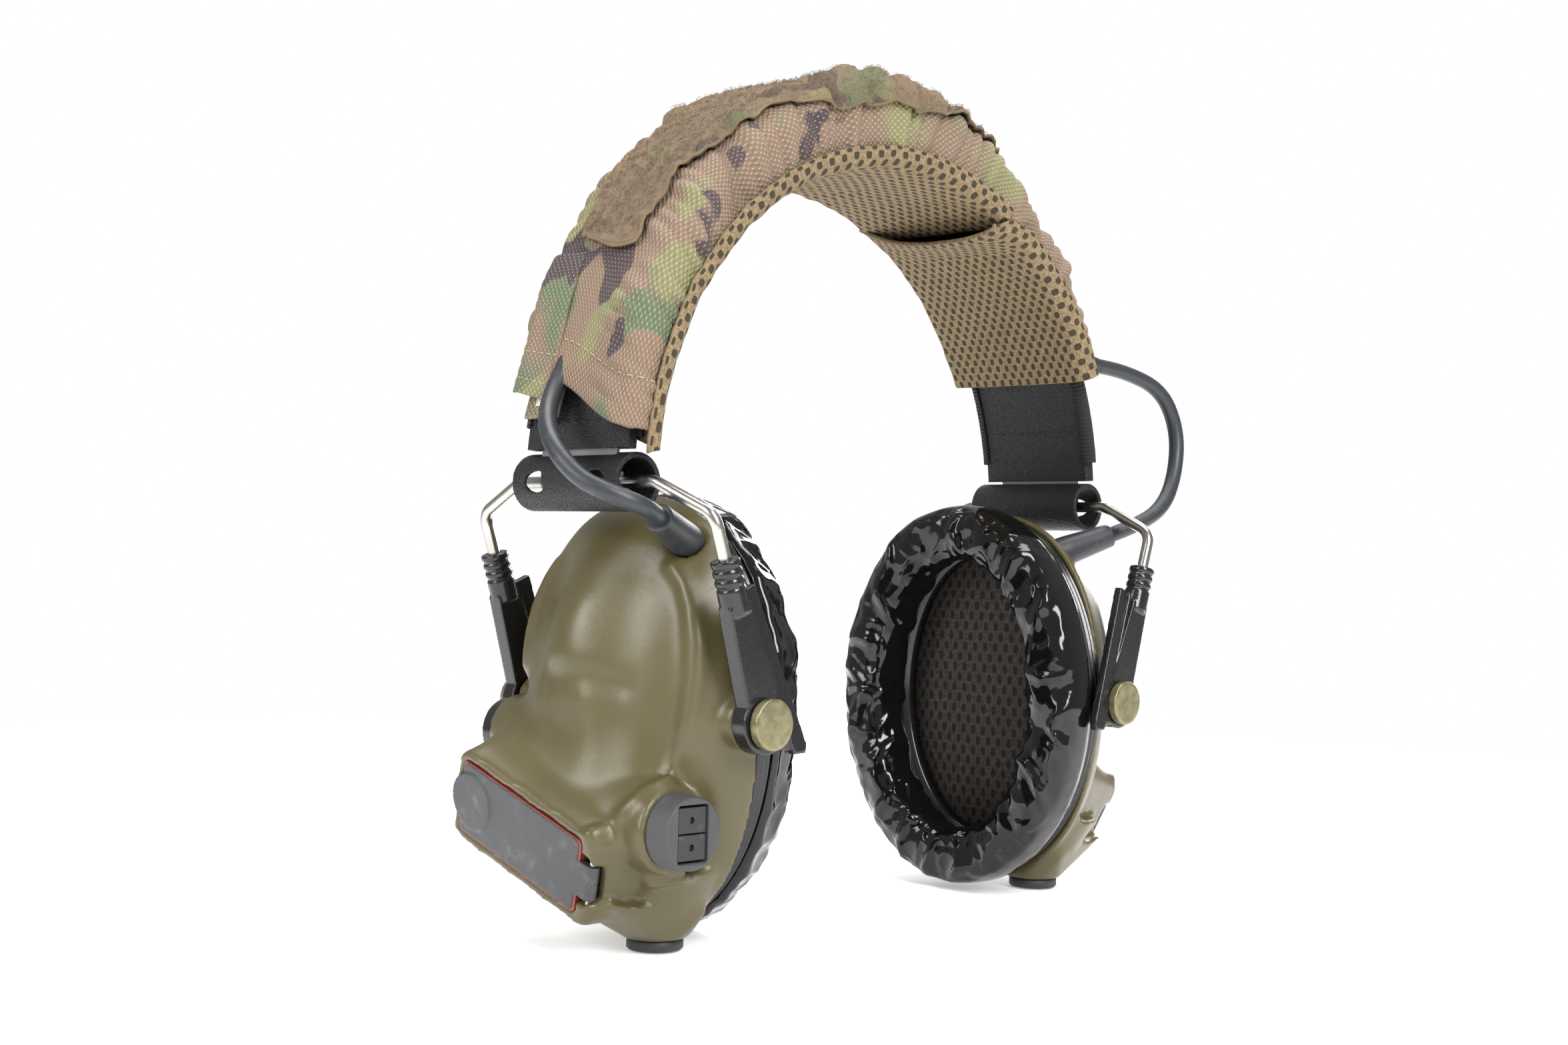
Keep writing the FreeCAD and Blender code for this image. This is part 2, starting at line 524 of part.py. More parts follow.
def make_shell(with_keypad):
    """Moulded cup: dome, battery pedestal and bosses, hollowed, with an open battery bay."""
    rim, wall = dim("plate_back") + 0.05, dim("wall")
    shell = make_dome(0, rim, 94.0).fuse(make_pedestal(0, 0))
    mic_seat, mic_radius = dim("mic_seat") - 0.1, dim("mic_frame_radius") + 1.2
    shell = shell.fuse(rod(Vector(dim("mic_x"), 12, dim("mic_z")), Y_AXIS, mic_seat - 12, mic_radius))
    shell = shell.fuse(rod(Vector(dim("plug_x"), dim("plug_y"), dim("plug_flange_high") + 0.05), Z_AXIS,
                           18, dim("plug_boss"), 18.5))
    if with_keypad:
        seat = dim("keypad_seat") - 0.1
        shell = shell.fuse(rod(Vector(dim("keypad_x"), -12, dim("keypad_z")), -Y_AXIS, seat - 12,
                               dim("keypad_radius") + 1.2))
    for side in (1, -1):
        boss = rod(Vector(pivot.x, side * 30, pivot.z), Y_AXIS * side, dim("pivot_shoulder") - 30.1, 6.6)
        shell = shell.fuse(boss)
    shell = x_clip(shell, rim)
    hollow = make_dome(wall, rim - 1, 90.0).fuse(x_clip(make_pedestal(wall, 0), rim - 1).common(
        Part.makeBox(91.0 - rim, 200, 240, Vector(rim - 1, -100, -60))))
    hollow = hollow.cut(boxed(20, dim("bay_long") + 4, dim("bay_high") + 4, -dim("bay_deep") - 2))
    shell = shell.cut(hollow)
    shell = shell.cut(boxed(30, dim("bay_long"), dim("bay_high"), -dim("bay_deep")))
    gap = dim("rebate_gap")
    rebate_long = dim("door_long") / 2 + gap - dim("lug_y")
    rebate = Part.makeBox(30, rebate_long, dim("door_high") + 2 * gap)
    rebate.translate(Vector(-dim("door_thick", "gasket_thick") - 0.1, dim("lug_y"), -dim("door_high") / 2 - gap))
    notch = Part.makeBox(30, 6.6, 2 * dim("tab_half") + 1)
    notch.translate(Vector(-3.7, -27, -dim("tab_half") - 0.5))
    pin_hole = rod(Vector(dim("pin_x"), dim("pin_y"), -10.2), Z_AXIS, 20.4, dim("pin_radius") + 0.05)
    for cutter in (rebate, notch, pin_hole):
        cutter.Placement = box_frame.multiply(cutter.Placement)
        shell = shell.cut(cutter)
    for side in (1, -1):
        shell = shell.cut(rod(Vector(pivot.x, side * 28, pivot.z), Y_AXIS * side, 15,
                              dim("pivot_stud") + 0.05))
    shell = shell.cut(rod(Vector(dim("mic_x"), 0, dim("mic_z")), Y_AXIS, 60, dim("capsule_radius") + 0.1))
    shell = shell.cut(rod(Vector(dim("mic_x"), dim("mic_seat") - 0.05, dim("mic_z")), Y_AXIS, 20,
                          dim("mic_frame_radius") + 0.1))
    shell = shell.cut(rod(Vector(dim("plug_x"), dim("plug_y"), -5), Z_AXIS, 24, dim("plug_stud") + 0.05))
    if with_keypad:
        shell = shell.cut(rod(Vector(dim("keypad_x"), 0, dim("keypad_z")), -Y_AXIS, 60, 6.0))
    base, tip, way, length = boot_frame()
    return shell.cut(rod(base - way * dim("boot_root"), way, length, dim("boot_base") + 0.05))


keep("right_shell", make_shell(False))
keep("left_shell", make_shell(True).mirror(Vector(0, 0, 0), X_AXIS))


# ---------------------------------------------------------------- ear cushion, backplate, liner and baffle
def make_cushion():
    """Oval ring cushion with rounded edges."""
    outer = slab(ellipse(dim("cushion_half_wide"), dim("cushion_half_high"), pivot.z),
                 dim("cushion_face"), dim("cushion_back"))
    inner = slab(ellipse(dim("opening_half_wide"), dim("opening_half_high"), pivot.z),
                 dim("cushion_face") - 1, dim("cushion_back") + 1)
    ring = outer.cut(inner)
    edges = [e for e in ring.Edges if e.BoundBox.XLength < 0.01]
    return ring.makeFillet(4.5, edges)


def make_backplate():
    """Oval plate that carries the cushion, with a raised rim round its opening."""
    plate = slab(ellipse(dim("plate_half_wide"), dim("plate_half_high"), pivot.z),
                 dim("cushion_back") + 0.1, dim("plate_back"))
    return plate.cut(slab(ellipse(dim("opening_half_wide"), dim("opening_half_high"), pivot.z), 60, 70))


def make_liner():
    """Open-cell foam disc behind the opening."""
    return slab(ellipse(dim("liner_half_wide"), dim("liner_half_high"), pivot.z),
                dim("liner_x"), dim("liner_x", "liner_thick"))


def make_baffle():
    """Plate that holds the loudspeaker, pierced by its mouth."""
    plate = slab(ellipse(dim("liner_half_wide") + 1.5, dim("liner_half_high") + 1.5, pivot.z),
                 dim("baffle_x"), dim("baffle_x", "baffle_thick"))
    return plate.cut(rod(Vector(60, 0, pivot.z), X_AXIS, 20, dim("speaker_mouth")))


keep("right_cushion", make_cushion())
keep("right_backplate", make_backplate())
keep("right_foam_liner", make_liner())
keep("right_baffle", make_baffle())

speaker = turned("right_speaker", [
    ((), ()), (("speaker_radius",), ()), (("speaker_radius",), ("speaker_flange",)),
    (("magnet_radius",), ("speaker_flange",)), (("magnet_radius",), ("speaker_flange", "magnet_deep")),
    ((), ("speaker_flange", "magnet_deep"))])
speaker.Placement = Placement(Vector(dim("speaker_x"), 0, pivot.z), Rotation(Z_AXIS, -90))
keep("right_speaker", speaker)

board = doc.addObject("Part::Box", "right_circuit_board")
board.setExpression("Length", "dims.board_thick")
board.setExpression("Width", "2 * dims.board_half_wide")
board.setExpression("Height", "2 * dims.board_half_high")
board.Placement = Placement(Vector(dim("board_x"), -dim("board_half_wide"), pivot.z - dim("board_half_high")),
                            Rotation())
keep("right_circuit_board", board)


# ---------------------------------------------------------------- battery, its contacts, door, gasket and pin
def in_box(shape):
    shape.Placement = box_frame.multiply(shape.Placement)
    return shape


battery_x = -dim("bay_deep") + dim("battery_radius") + 0.4
battery_start = -(dim("battery_long") + dim("nub_long")) / 2
battery = turned("right_battery", [
    ((), ()), (("battery_radius",), ()), (("battery_radius",), ("battery_long",)),
    (("battery_nub",), ("battery_long",)), (("battery_nub",), ("battery_long", "nub_long")),
    ((), ("battery_long", "nub_long"))])
battery.Placement = box_frame.multiply(Placement(Vector(battery_x, battery_start, 0), Rotation()))
keep("right_battery", battery)


def make_contacts():
    """A sprung plate at the battery's flat end and a plain one at its nub."""
    thick, half = dim("contact_thick"), 4.6
    wall = dim("bay_long") / 2 - 0.05
    plates = []
    for side in (1, -1):
        y_low = wall - thick if side > 0 else -wall
        plate = Part.makeBox(2 * half, thick, 2 * half, Vector(battery_x - half, y_low, -half))
        reach = wall - thick + battery_start - 0.05
        stud = rod(Vector(battery_x, side * (wall - thick), 0), -Y_AXIS * side, reach, 3.4, 1.8)
        plates.append(in_box(plate.fuse(stud)))
    return Part.makeCompound(plates)


def make_door():
    """Battery door: a flat plate with a tab and knuckle that turn on the pin at its rear end."""
    thick, half_high = dim("door_thick"), dim("door_high") / 2
    front, rear = dim("door_long") / 2, dim("lug_y") + 0.6
    plate = Part.makeBox(thick, front - rear, 2 * half_high, Vector(-thick, rear, -half_high))
    corners = [e for e in plate.Edges if e.BoundBox.YLength < 0.01 and e.BoundBox.ZLength < 0.01]
    plate = plate.makeFillet(1.6, corners)
    half = dim("tab_half")
    tab = Part.makeBox(thick, rear - dim("pin_y") + 1, 2 * half, Vector(-thick, dim("pin_y"), -half))
    knuckle = rod(Vector(dim("pin_x"), dim("pin_y"), -half), Z_AXIS, 2 * half, dim("knuckle_radius"))
    bore = rod(Vector(dim("pin_x"), dim("pin_y"), -20), Z_AXIS, 40, dim("pin_radius", "running_gap"))
    return in_box(plate.fuse(tab).fuse(knuckle).cut(bore).removeSplitter())


def make_gasket():
    """Thin sealing ring between the door and the rim of the bay."""
    thick, wide = dim("gasket_thick") - 0.1, dim("gasket_wide")
    low_x = -dim("door_thick") - dim("gasket_thick") + 0.02
    y_low, y_high, half = dim("lug_y") + 0.4, dim("door_long") / 2, dim("door_high") / 2
    ring = Part.makeBox(thick, y_high - y_low, 2 * half, Vector(low_x, y_low, -half))
    hole = Part.makeBox(thick + 2, y_high - y_low - 2 * wide, 2 * (half - wide),
                        Vector(low_x - 1, y_low + wide, -half + wide))
    return in_box(ring.cut(hole))


keep("right_battery_contacts", make_contacts())
keep("right_battery_door", make_door())
keep("right_door_gasket", make_gasket())
pin = doc.addObject("Part::Cylinder", "right_door_pin")
pin.setExpression("Radius", "dims.pin_radius")
pin.Height = 20.0
pin.Placement = box_frame.multiply(Placement(Vector(dim("pin_x"), dim("pin_y"), -10), Rotation()))
keep("right_door_pin", pin)

# ---------------------------------------------------------------- talk-through microphone, boot and plug
capsule = doc.addObject("Part::Cylinder", "right_mic_capsule")
capsule.setExpression("Radius", "dims.capsule_radius")
capsule.setExpression("Height", "dims.capsule_deep")
capsule.Placement = Placement(Vector(dim("mic_x"), dim("mic_seat", "-capsule_deep"), dim("mic_z")),
                              Rotation(X_AXIS, -90))
keep("right_mic_capsule", capsule)

mic_frame = turned("right_mic_frame", [
    (("capsule_radius",), ()), (("mic_frame_radius",), ()), (("mic_frame_radius",), ("mic_frame_deep",)),
    (("foam_radius", "running_gap"), ("mic_frame_deep",)),
    (("foam_radius", "running_gap"), ("foam_floor",)), (("capsule_radius",), ("foam_floor",))])
mic_frame.Placement = Placement(Vector(dim("mic_x"), dim("mic_seat"), dim("mic_z")), Rotation())
keep("right_mic_frame", mic_frame)


def make_foam():
    """Foam windscreen with a rounded face."""
    base = Vector(dim("mic_x"), dim("mic_seat", "foam_floor") + 0.05, dim("mic_z"))
    disc = rod(base, Y_AXIS, dim("foam_deep"), dim("foam_radius"))
    rim = [e for e in disc.Edges if e.BoundBox.YMin > base.y + dim("foam_deep") - 0.1]
    return disc.makeFillet(2.4, rim)


keep("right_mic_foam", make_foam())


def make_boot():
    """Tapered rubber sleeve where the cable enters the cup."""
    base, tip, way, length = boot_frame()
    root = dim("boot_root") - 0.1
    boot = rod(base - way * root, way, root + 0.1, dim("boot_base"))
    return boot.fuse(rod(base, way, length, dim("boot_base"), dim("boot_tip"))).removeSplitter()


keep("right_cable_boot", make_boot())

plug = turned("right_blanking_plug", [
    ((), ()), (("plug_flange",), ()), (("plug_flange",), ("plug_flange_high",)),
    (("plug_stud",), ("plug_flange_high",)), (("plug_stud",), ("plug_high",)), ((), ("plug_high",))])
plug.Placement = Placement(Vector(dim("plug_x"), dim("plug_y"), 0), Rotation(X_AXIS, 90))
keep("right_blanking_plug", plug)

for name in ("yoke_wire", "arm_front", "arm_rear", "pivot_buttons", "cushion", "backplate", "foam_liner",
             "baffle", "speaker", "circuit_board", "battery", "battery_contacts", "battery_door",
             "door_gasket", "door_pin", "mic_capsule", "mic_frame", "mic_foam", "cable_boot",
             "blanking_plug"):
    mirror_to_left(name)

# ---------------------------------------------------------------- two-button keypad on the left cup
keypad_centre = Vector(-dim("keypad_x"), -dim("keypad_seat"), dim("keypad_z"))
ring_blank = turned("keypad_blank", [
    ((), ()), (("keypad_radius",), ()), (("keypad_face",), ("keypad_deep",)), ((), ("keypad_deep",))])
ring_blank.Placement = Placement(keypad_centre, Rotation(X_AXIS, 180))
recess = doc.addObject("Part::Box", "keypad_recess")
recess.setExpression("Length", "2 * dims.recess_half_wide")
recess.setExpression("Width", "dims.recess_deep")
recess.setExpression("Height", "2 * dims.recess_half_high")
recess.Placement = Placement(keypad_centre - Vector(dim("recess_half_wide"), dim("keypad_deep"),
                                                    dim("recess_half_high")), Rotation())
ring = doc.addObject("Part::Cut", "keypad_ring")
ring.Base = ring_blank
ring.Tool = recess
keep("keypad_ring", ring)


def make_button(side):
    """Half of the rocker inset, with a finger dimple."""
    face_y = keypad_centre.y - dim("keypad_deep") + 0.6
    low_z = keypad_centre.z + (dim("button_gap") / 2 if side > 0 else -dim("button_gap") / 2 - dim("button_tall"))
    corner = Vector(keypad_centre.x - dim("button_half_wide"), face_y, low_z)
    block = Part.makeBox(2 * dim("button_half_wide"), dim("button_deep"), dim("button_tall"), corner)
    dimple = rod(Vector(keypad_centre.x, face_y - 0.1, low_z + dim("button_tall") / 2), Y_AXIS, 1.3, 0.75)
    return block.cut(dimple)


def make_switches():
    """Two rubber domes on a small board on the floor of the recess, one behind each button."""
    wide, tall = dim("recess_half_wide") - 0.1, dim("recess_half_high") - 0.1
    floor_y = keypad_centre.y - dim("keypad_deep", "-recess_deep") - 0.02
    plate = Part.makeBox(2 * wide, 0.6, 2 * tall, Vector(keypad_centre.x - wide, floor_y - 0.6,
                                                         keypad_centre.z - tall))
    for side in (1, -1):
        dome_z = keypad_centre.z + side * (dim("button_tall", "button_gap") / 2)
        plate = plate.fuse(rod(Vector(keypad_centre.x, floor_y - 0.6, dome_z), -Y_AXIS, 0.5, 1.6, 1.1))
    return plate


keep("volume_up_button", make_button(1))
keep("volume_down_button", make_button(-1))
keep("keypad_switches", make_switches())


# ---------------------------------------------------------------- cable
def along_arch(angle, radius, y):
    return round_the_arch(angle, radius, y)


CABLE_START, CABLE_STOP = 50.0, 145.0
LEFT_LOOP = [(145.2, 94.7, 3.0), (154.5, 94.8, 4.0), (163.2, 95.2, 5.0)]
LEFT_FREE = [Vector(-97.3, 2.6, 130.5), Vector(-104.0, -4.8, 123.0), Vector(-106.7, -12.6, 116.7),
             Vector(-105.4, -19.4, 110.9), Vector(-102.2, -25.0, 108.1), Vector(-97.7, -28.4, 106.1)]
RIGHT_LOOP = [(49.8, 94.7, -9.0), (38.0, 94.8, -13.5), (26.5, 95.5, -18.0)]
RIGHT_FREE = [Vector(100.0, -22.0, 152.5), Vector(113.5, -27.0, 147.5), Vector(119.5, -29.0, 135.5),
              Vector(116.5, -30.5, 122.0), Vector(107.5, -32.5, 111.5)]


def make_cable_run():
    """Stretch of the interconnect cable that lies on the band, under the canvas."""
    steps = 8
    points = []
    for i in range(steps + 1):
        share = i / steps
        angle = CABLE_START + 0.2 + share * (CABLE_STOP - CABLE_START - 0.4)
        points.append(along_arch(angle, dim("cable_ride"), -9.0 + 12.0 * share))
    return tube("cable under the cover", points, dim("cable_radius"))


boot_base, boot_tip, boot_way, boot_length = boot_frame()
left_route = [along_arch(*place) for place in LEFT_LOOP] + LEFT_FREE
left_route += [Vector(-place.x, place.y, place.z) for place in (boot_tip + boot_way * 5.4, boot_tip)]
right_route = [along_arch(*place) for place in RIGHT_LOOP] + RIGHT_FREE + [boot_tip + boot_way * 10.0, boot_tip]
keep("cable_run", make_cable_run())
keep("left_cable_loop", tube("left loop", left_route, dim("cable_radius")))
keep("right_cable_loop", tube("right loop", right_route, dim("cable_radius")))

# ---------------------------------------------------------------- check and write
doc.recompute()
for thing in doc.Objects:
    if "Invalid" in thing.State or "Error" in thing.State:
        raise RuntimeError(f"{thing.Name} failed: {thing.State}")
for label, thing in nodes.items():
    if thing.Shape.isNull() or not thing.Shape.isValid():
        raise RuntimeError(f"{label} has no valid shape")

os.makedirs("parts", exist_ok=True)
for label, thing in nodes.items():
    thing.Shape.exportStep(f"parts/{label}.step")
print(f"{len(nodes)} nodes; pivot {pivot}, battery door hinge "
      f"{box_point(dim('pin_x'), dim('pin_y'), 0)} along {box_frame.Rotation.multVec(Z_AXIS)}")
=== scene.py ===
# %% [markdown]
# A folding radio headset: two hard cups on wire yokes, a sprung headband and a soft fabric cover.
# The mechanical frame is loaded first. Every piece below is built in metres in that frame, so a piece
# goes where the frame says it goes, and each one rides on the body that carries it.

# %% Load the frame
import json
import math
import random

import bmesh
import bpy
from mathutils import Matrix, Vector, noise


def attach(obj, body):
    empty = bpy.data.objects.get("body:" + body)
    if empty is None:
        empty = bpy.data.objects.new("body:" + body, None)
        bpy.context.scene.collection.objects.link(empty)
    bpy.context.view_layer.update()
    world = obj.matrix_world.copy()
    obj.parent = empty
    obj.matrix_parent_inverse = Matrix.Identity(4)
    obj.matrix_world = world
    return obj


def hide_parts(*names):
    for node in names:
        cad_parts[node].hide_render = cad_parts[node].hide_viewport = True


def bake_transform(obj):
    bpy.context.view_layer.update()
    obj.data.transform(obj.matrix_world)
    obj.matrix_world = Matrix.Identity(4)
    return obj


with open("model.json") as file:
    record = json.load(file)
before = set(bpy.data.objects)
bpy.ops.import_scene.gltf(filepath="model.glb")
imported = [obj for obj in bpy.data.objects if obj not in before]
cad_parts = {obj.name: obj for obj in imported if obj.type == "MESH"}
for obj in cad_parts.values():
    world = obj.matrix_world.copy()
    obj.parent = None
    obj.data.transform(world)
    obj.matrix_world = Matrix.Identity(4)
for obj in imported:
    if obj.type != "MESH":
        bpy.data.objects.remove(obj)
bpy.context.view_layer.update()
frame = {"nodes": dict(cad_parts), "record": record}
MM = 0.001

# %% [markdown]
# The camera looks from behind the wearer's left shoulder, almost level with the middle of the band.
# Its place and lens are given as plain numbers, and its three axes are built from a heading, a tiny
# climb and a tiny roll, which is how a tripod head would be read off.

# %% Camera
CAMERA_PLACE = Vector((-390.1, -367.5, 95.1)) * MM
HEADING, CLIMB, ROLL = math.radians(-45.2), math.radians(-0.9), math.radians(1.4)
back = Vector((math.sin(HEADING) * math.cos(CLIMB), -math.cos(HEADING) * math.cos(CLIMB),
               math.sin(CLIMB)))
right = Vector((math.cos(HEADING), math.sin(HEADING), 0))
up = back.cross(right)
across = math.cos(ROLL) * right + math.sin(ROLL) * up
upward = math.cos(ROLL) * up - math.sin(ROLL) * right
LENS, SENSOR, NEAREST = 45.37, 36.0, 0.01
camera = bpy.data.objects.new("camera", bpy.data.cameras.new("camera"))
camera.data.lens = LENS
camera.data.sensor_width = SENSOR
camera.data.clip_start = NEAREST
axes = Matrix((across, upward, back)).transposed()
camera.matrix_world = Matrix.Translation(CAMERA_PLACE) @ axes.to_4x4()
bpy.context.collection.objects.link(camera)
bpy.context.scene.camera = camera
print("camera", [round(part, 3) for part in camera.matrix_world.translation], "lens", LENS)

# %% [markdown]
# A plain studio needs an even pale surround and a few large soft lamps; four are used here. The glossy
# vinyl of the cushions only reads as glossy when it has bright shapes with dark gaps between them to
# mirror, so the lamps are large but separate. A Light Path node keeps the surround white where the camera
# sees it and dimmer where it lights the object.

# %% Surround and lamps
def soft_lamp(name, place, aim, size, watts):
    lamp = bpy.data.lights.new(name, "AREA")
    lamp.shape = "RECTANGLE"
    lamp.size, lamp.size_y = size
    lamp.energy = watts
    holder = bpy.data.objects.new(name, lamp)
    holder.location = place
    holder.rotation_euler = (Vector(place) - Vector(aim)).to_track_quat("Z", "Y").to_euler()
    bpy.context.collection.objects.link(holder)


MIDDLE = (0.0, 0.0, 0.11)
soft_lamp("key", (-0.25, -0.95, 0.75), MIDDLE, (0.35, 0.8), 17.0)
soft_lamp("window", (-1.0, 0.15, 0.55), MIDDLE, (0.5, 0.5), 8.0)
soft_lamp("top", (0.15, 0.1, 1.1), MIDDLE, (0.9, 0.5), 11.0)
soft_lamp("far_side", (0.95, 0.35, 0.5), MIDDLE, (0.5, 0.6), 10.0)

world = bpy.data.worlds.new("studio")
world.use_nodes = True
backdrop = world.node_tree.nodes["Background"]
backdrop.inputs["Color"].default_value = (1.0, 1.0, 1.0, 1)
seen = world.node_tree.nodes.new("ShaderNodeLightPath").outputs["Is Camera Ray"]
level = world.node_tree.nodes.new("ShaderNodeMapRange")
FILL_LIGHT, SEEN_WHITE = 0.42, 1.0
level.inputs["To Min"].default_value, level.inputs["To Max"].default_value = FILL_LIGHT, SEEN_WHITE
world.node_tree.links.new(seen, level.inputs["Value"])
world.node_tree.links.new(level.outputs["Result"], backdrop.inputs["Strength"])
bpy.context.scene.world = world
bpy.context.scene.view_settings.view_transform = "Standard"
print(len(bpy.data.lights), "lamps")

# %% [markdown]
# Shader sums are easier to read as Python than as a web of nodes. Link wraps one output socket, and its
# operators add Math nodes. Finish is one material: node() adds any node, feed() sets or links a socket,
# and bump() takes the height of the relief in metres, so a grain keeps its real depth.

# %% Shader helpers
class Link:
    """One shader output. Arithmetic on it adds Math nodes."""

    def __init__(self, finish, socket):
        self.finish = finish
        self.socket = socket

    def math(self, operation, *others):
        return self.finish.node("Math", {"operation": operation}, dict(enumerate((self, *others))))

    def __add__(self, other):
        return self.math("ADD", other)

    def __sub__(self, other):
        return self.math("SUBTRACT", other)

    def __rsub__(self, other):
        return self.finish.node("Math", {"operation": "SUBTRACT"}, {0: other, 1: self})

    def __mul__(self, other):
        return self.math("MULTIPLY", other)

    def sine(self):
        return self.math("SINE")

    def between(self, low, high):
        """0 below low, 1 above high and a straight ramp between."""
        return self.finish.node("MapRange", {"clamp": True},
                                {"Value": self, "From Min": low, "From Max": high})

    __radd__ = __add__
    __rmul__ = __mul__


class Finish:
    """A material and the nodes that feed its shader."""

    def __init__(self, name, **sockets):
        self.material = bpy.data.materials.new(name)
        self.material.use_nodes = True
        self.tree = self.material.node_tree
        self.shader = self.tree.nodes["Principled BSDF"]
        for socket, value in sockets.items():
            self.feed(self.shader.inputs[socket.replace("_", " ")], value)

    def feed(self, socket, value):
        if isinstance(value, Link):
            self.tree.links.new(value.socket, socket)
        elif isinstance(value, tuple) and socket.type == "RGBA":
            socket.default_value = (*value, 1.0)
        else:
            socket.default_value = value

    def node(self, kind, settings=None, sockets=None, out=0):
        made = self.tree.nodes.new(f"ShaderNode{kind}")
        settings = dict(settings or {})
        stops = settings.pop("stops", None)
        for key, value in settings.items():
            setattr(made, key, value)
        if stops:
            for i, (place, colour) in enumerate(stops):
                stop = made.color_ramp.elements[i] if i < 2 else made.color_ramp.elements.new(place)
                stop.position = place
                stop.color = (*colour, 1.0)
        for key, value in (sockets or {}).items():
            self.feed(made.inputs[key], value)
        return Link(self, made.outputs[out])

    def set(self, **sockets):
        for socket, value in sockets.items():
            self.feed(self.shader.inputs[socket.replace("_", " ")], value)

    def mix(self, share, first, second):
        return self.node("Mix", {"data_type": "RGBA"}, {0: share, 6: first, 7: second}, out=2)

    def place(self, output="Object"):
        return self.node("TexCoord", None, None, out=output)

    def noise(self, scale, detail=3.0, where=None, roughness=0.5, seed=0.0):
        sockets = {"Vector": where or self.place(), "Scale": scale, "Detail": detail,
                   "Roughness": roughness, "W": seed}
        return self.node("TexNoise", {"noise_dimensions": "4D"}, sockets)

    def cells(self, scale, feature="F1", where=None):
        return self.node("TexVoronoi", {"feature": feature},
                         {"Vector": where or self.place(), "Scale": scale})

    def bump(self, height, depth, strength=1.0):
        """depth is the real height of the relief in metres."""
        self.set(Normal=self.node("Bump", None, {"Strength": strength, "Distance": depth, "Height": height}))


def split(vector):
    """The three parts of a vector link."""
    made = vector.finish.tree.nodes.new("ShaderNodeSeparateXYZ")
    vector.finish.tree.links.new(vector.socket, made.inputs[0])
    return [Link(vector.finish, output) for output in made.outputs]


# %% [markdown]
# Hard finishes. The cups are olive plastic moulded in a lightly textured tool: an even colour, a broad
# satin highlight and an orange-peel ripple too fine to model. The black plastic of the arms is polished
# and has hairline scratches, and the door's dark grey plastic is rubbed pale where it has been handled.

# %% Plastics
def olive_plastic():
    finish = Finish("olive_plastic", Specular_IOR_Level=0.5)
    cloud = finish.noise(28.0, 3.0)
    finish.set(Base_Color=finish.mix(cloud.between(0.35, 0.65), (0.070, 0.057, 0.020), (0.083, 0.068, 0.027)))
    specks = finish.noise(900.0, 2.0, seed=3.0).between(0.68, 0.72)
    finish.set(Roughness=finish.noise(160.0, 3.0, seed=5.0) * 0.16 + 0.3 + specks * 0.2)
    finish.bump(finish.noise(900.0, 2.0), 0.00006, 0.5)
    return finish.material


def olive_button():
    finish = Finish("olive_button", Metallic=0.55)
    cloud = finish.noise(400.0, 3.0)
    finish.set(Base_Color=finish.mix(cloud.between(0.4, 0.65), (0.16, 0.145, 0.075), (0.24, 0.21, 0.12)))
    finish.set(Roughness=cloud * 0.2 + 0.22)
    return finish.material


def black_plastic():
    finish = Finish("black_plastic", Base_Color=(0.010, 0.010, 0.011))
    scratches = finish.node("TexWave", {"wave_type": "BANDS"}, {"Vector": finish.place(), "Scale": 60.0,
                            "Distortion": 60.0, "Detail": 4.0, "Detail Scale": 3.0}).between(0.96, 1.0)
    finish.set(Roughness=finish.noise(90.0, 4.0) * 0.12 + 0.13 + scratches * 0.15)
    finish.bump(finish.noise(500.0, 2.0), 0.00004, 0.4)
    return finish.material


def worn_grey_plastic():
    finish = Finish("worn_grey_plastic")
    scuffs = finish.noise(260.0, 6.0, roughness=0.75).between(0.50, 0.66)
    marks = finish.noise(60.0, 5.0, roughness=0.6, seed=7.0).between(0.47, 0.62)
    lines = finish.node("TexWave", {"wave_type": "BANDS"}, {"Vector": finish.place(), "Scale": 90.0,
                        "Distortion": 45.0, "Detail": 5.0, "Detail Scale": 2.2}).between(0.975, 1.0)
    pale = scuffs * marks * 0.55 + lines * marks * 0.45
    finish.set(Base_Color=finish.mix(pale, (0.036, 0.037, 0.040), (0.30, 0.30, 0.29)))
    finish.set(Roughness=pale * 0.2 + 0.5)
    finish.bump(finish.noise(1300.0, 3.0) + lines * 0.5, 0.00008, 0.6)
    return finish.material


def plain(name, colour, roughness, grain=600.0, depth=0.00004, **more):
    """Simple finish with a fine grain, for small or hidden pieces."""
    finish = Finish(name, **more)
    cloud = finish.noise(grain * 0.12, 3.0)
    darker = tuple(0.8 * part for part in colour)
    finish.set(Base_Color=finish.mix(cloud.between(0.4, 0.6), darker, colour))
    finish.set(Roughness=finish.noise(grain * 0.5, 2.0) * 0.15 + (roughness - 0.075))
    finish.bump(finish.noise(grain, 2.0), depth, 0.5)
    return finish.material


def rubber(name, colour, roughness=0.55):
    finish = Finish(name)
    dust = finish.noise(240.0, 5.0, roughness=0.7).between(0.55, 0.75)
    finish.set(Base_Color=finish.mix(dust * 0.35, colour, (0.12, 0.12, 0.12)))
    finish.set(Roughness=finish.noise(120.0, 3.0) * 0.2 + (roughness - 0.1))
    finish.bump(finish.noise(1500.0, 2.0), 0.00005, 0.5)
    return finish.material


# %% [markdown]
# Soft finishes. The vinyl is nearly black and mirror-glossy, and its small puckers are a ridged noise.
# The foam liner is pierced in a staggered grid, which is the product of two sine waves, and its holes are
# painted near black as the shade inside them. Leatherette has a pebbled grain, made from the edges of
# Voronoi cells, and the edge tape is ribbed along its own length.

# %% Vinyl, foam and leatherette
HOLE_PITCH, RIB_PITCH = 0.0038, 0.0012


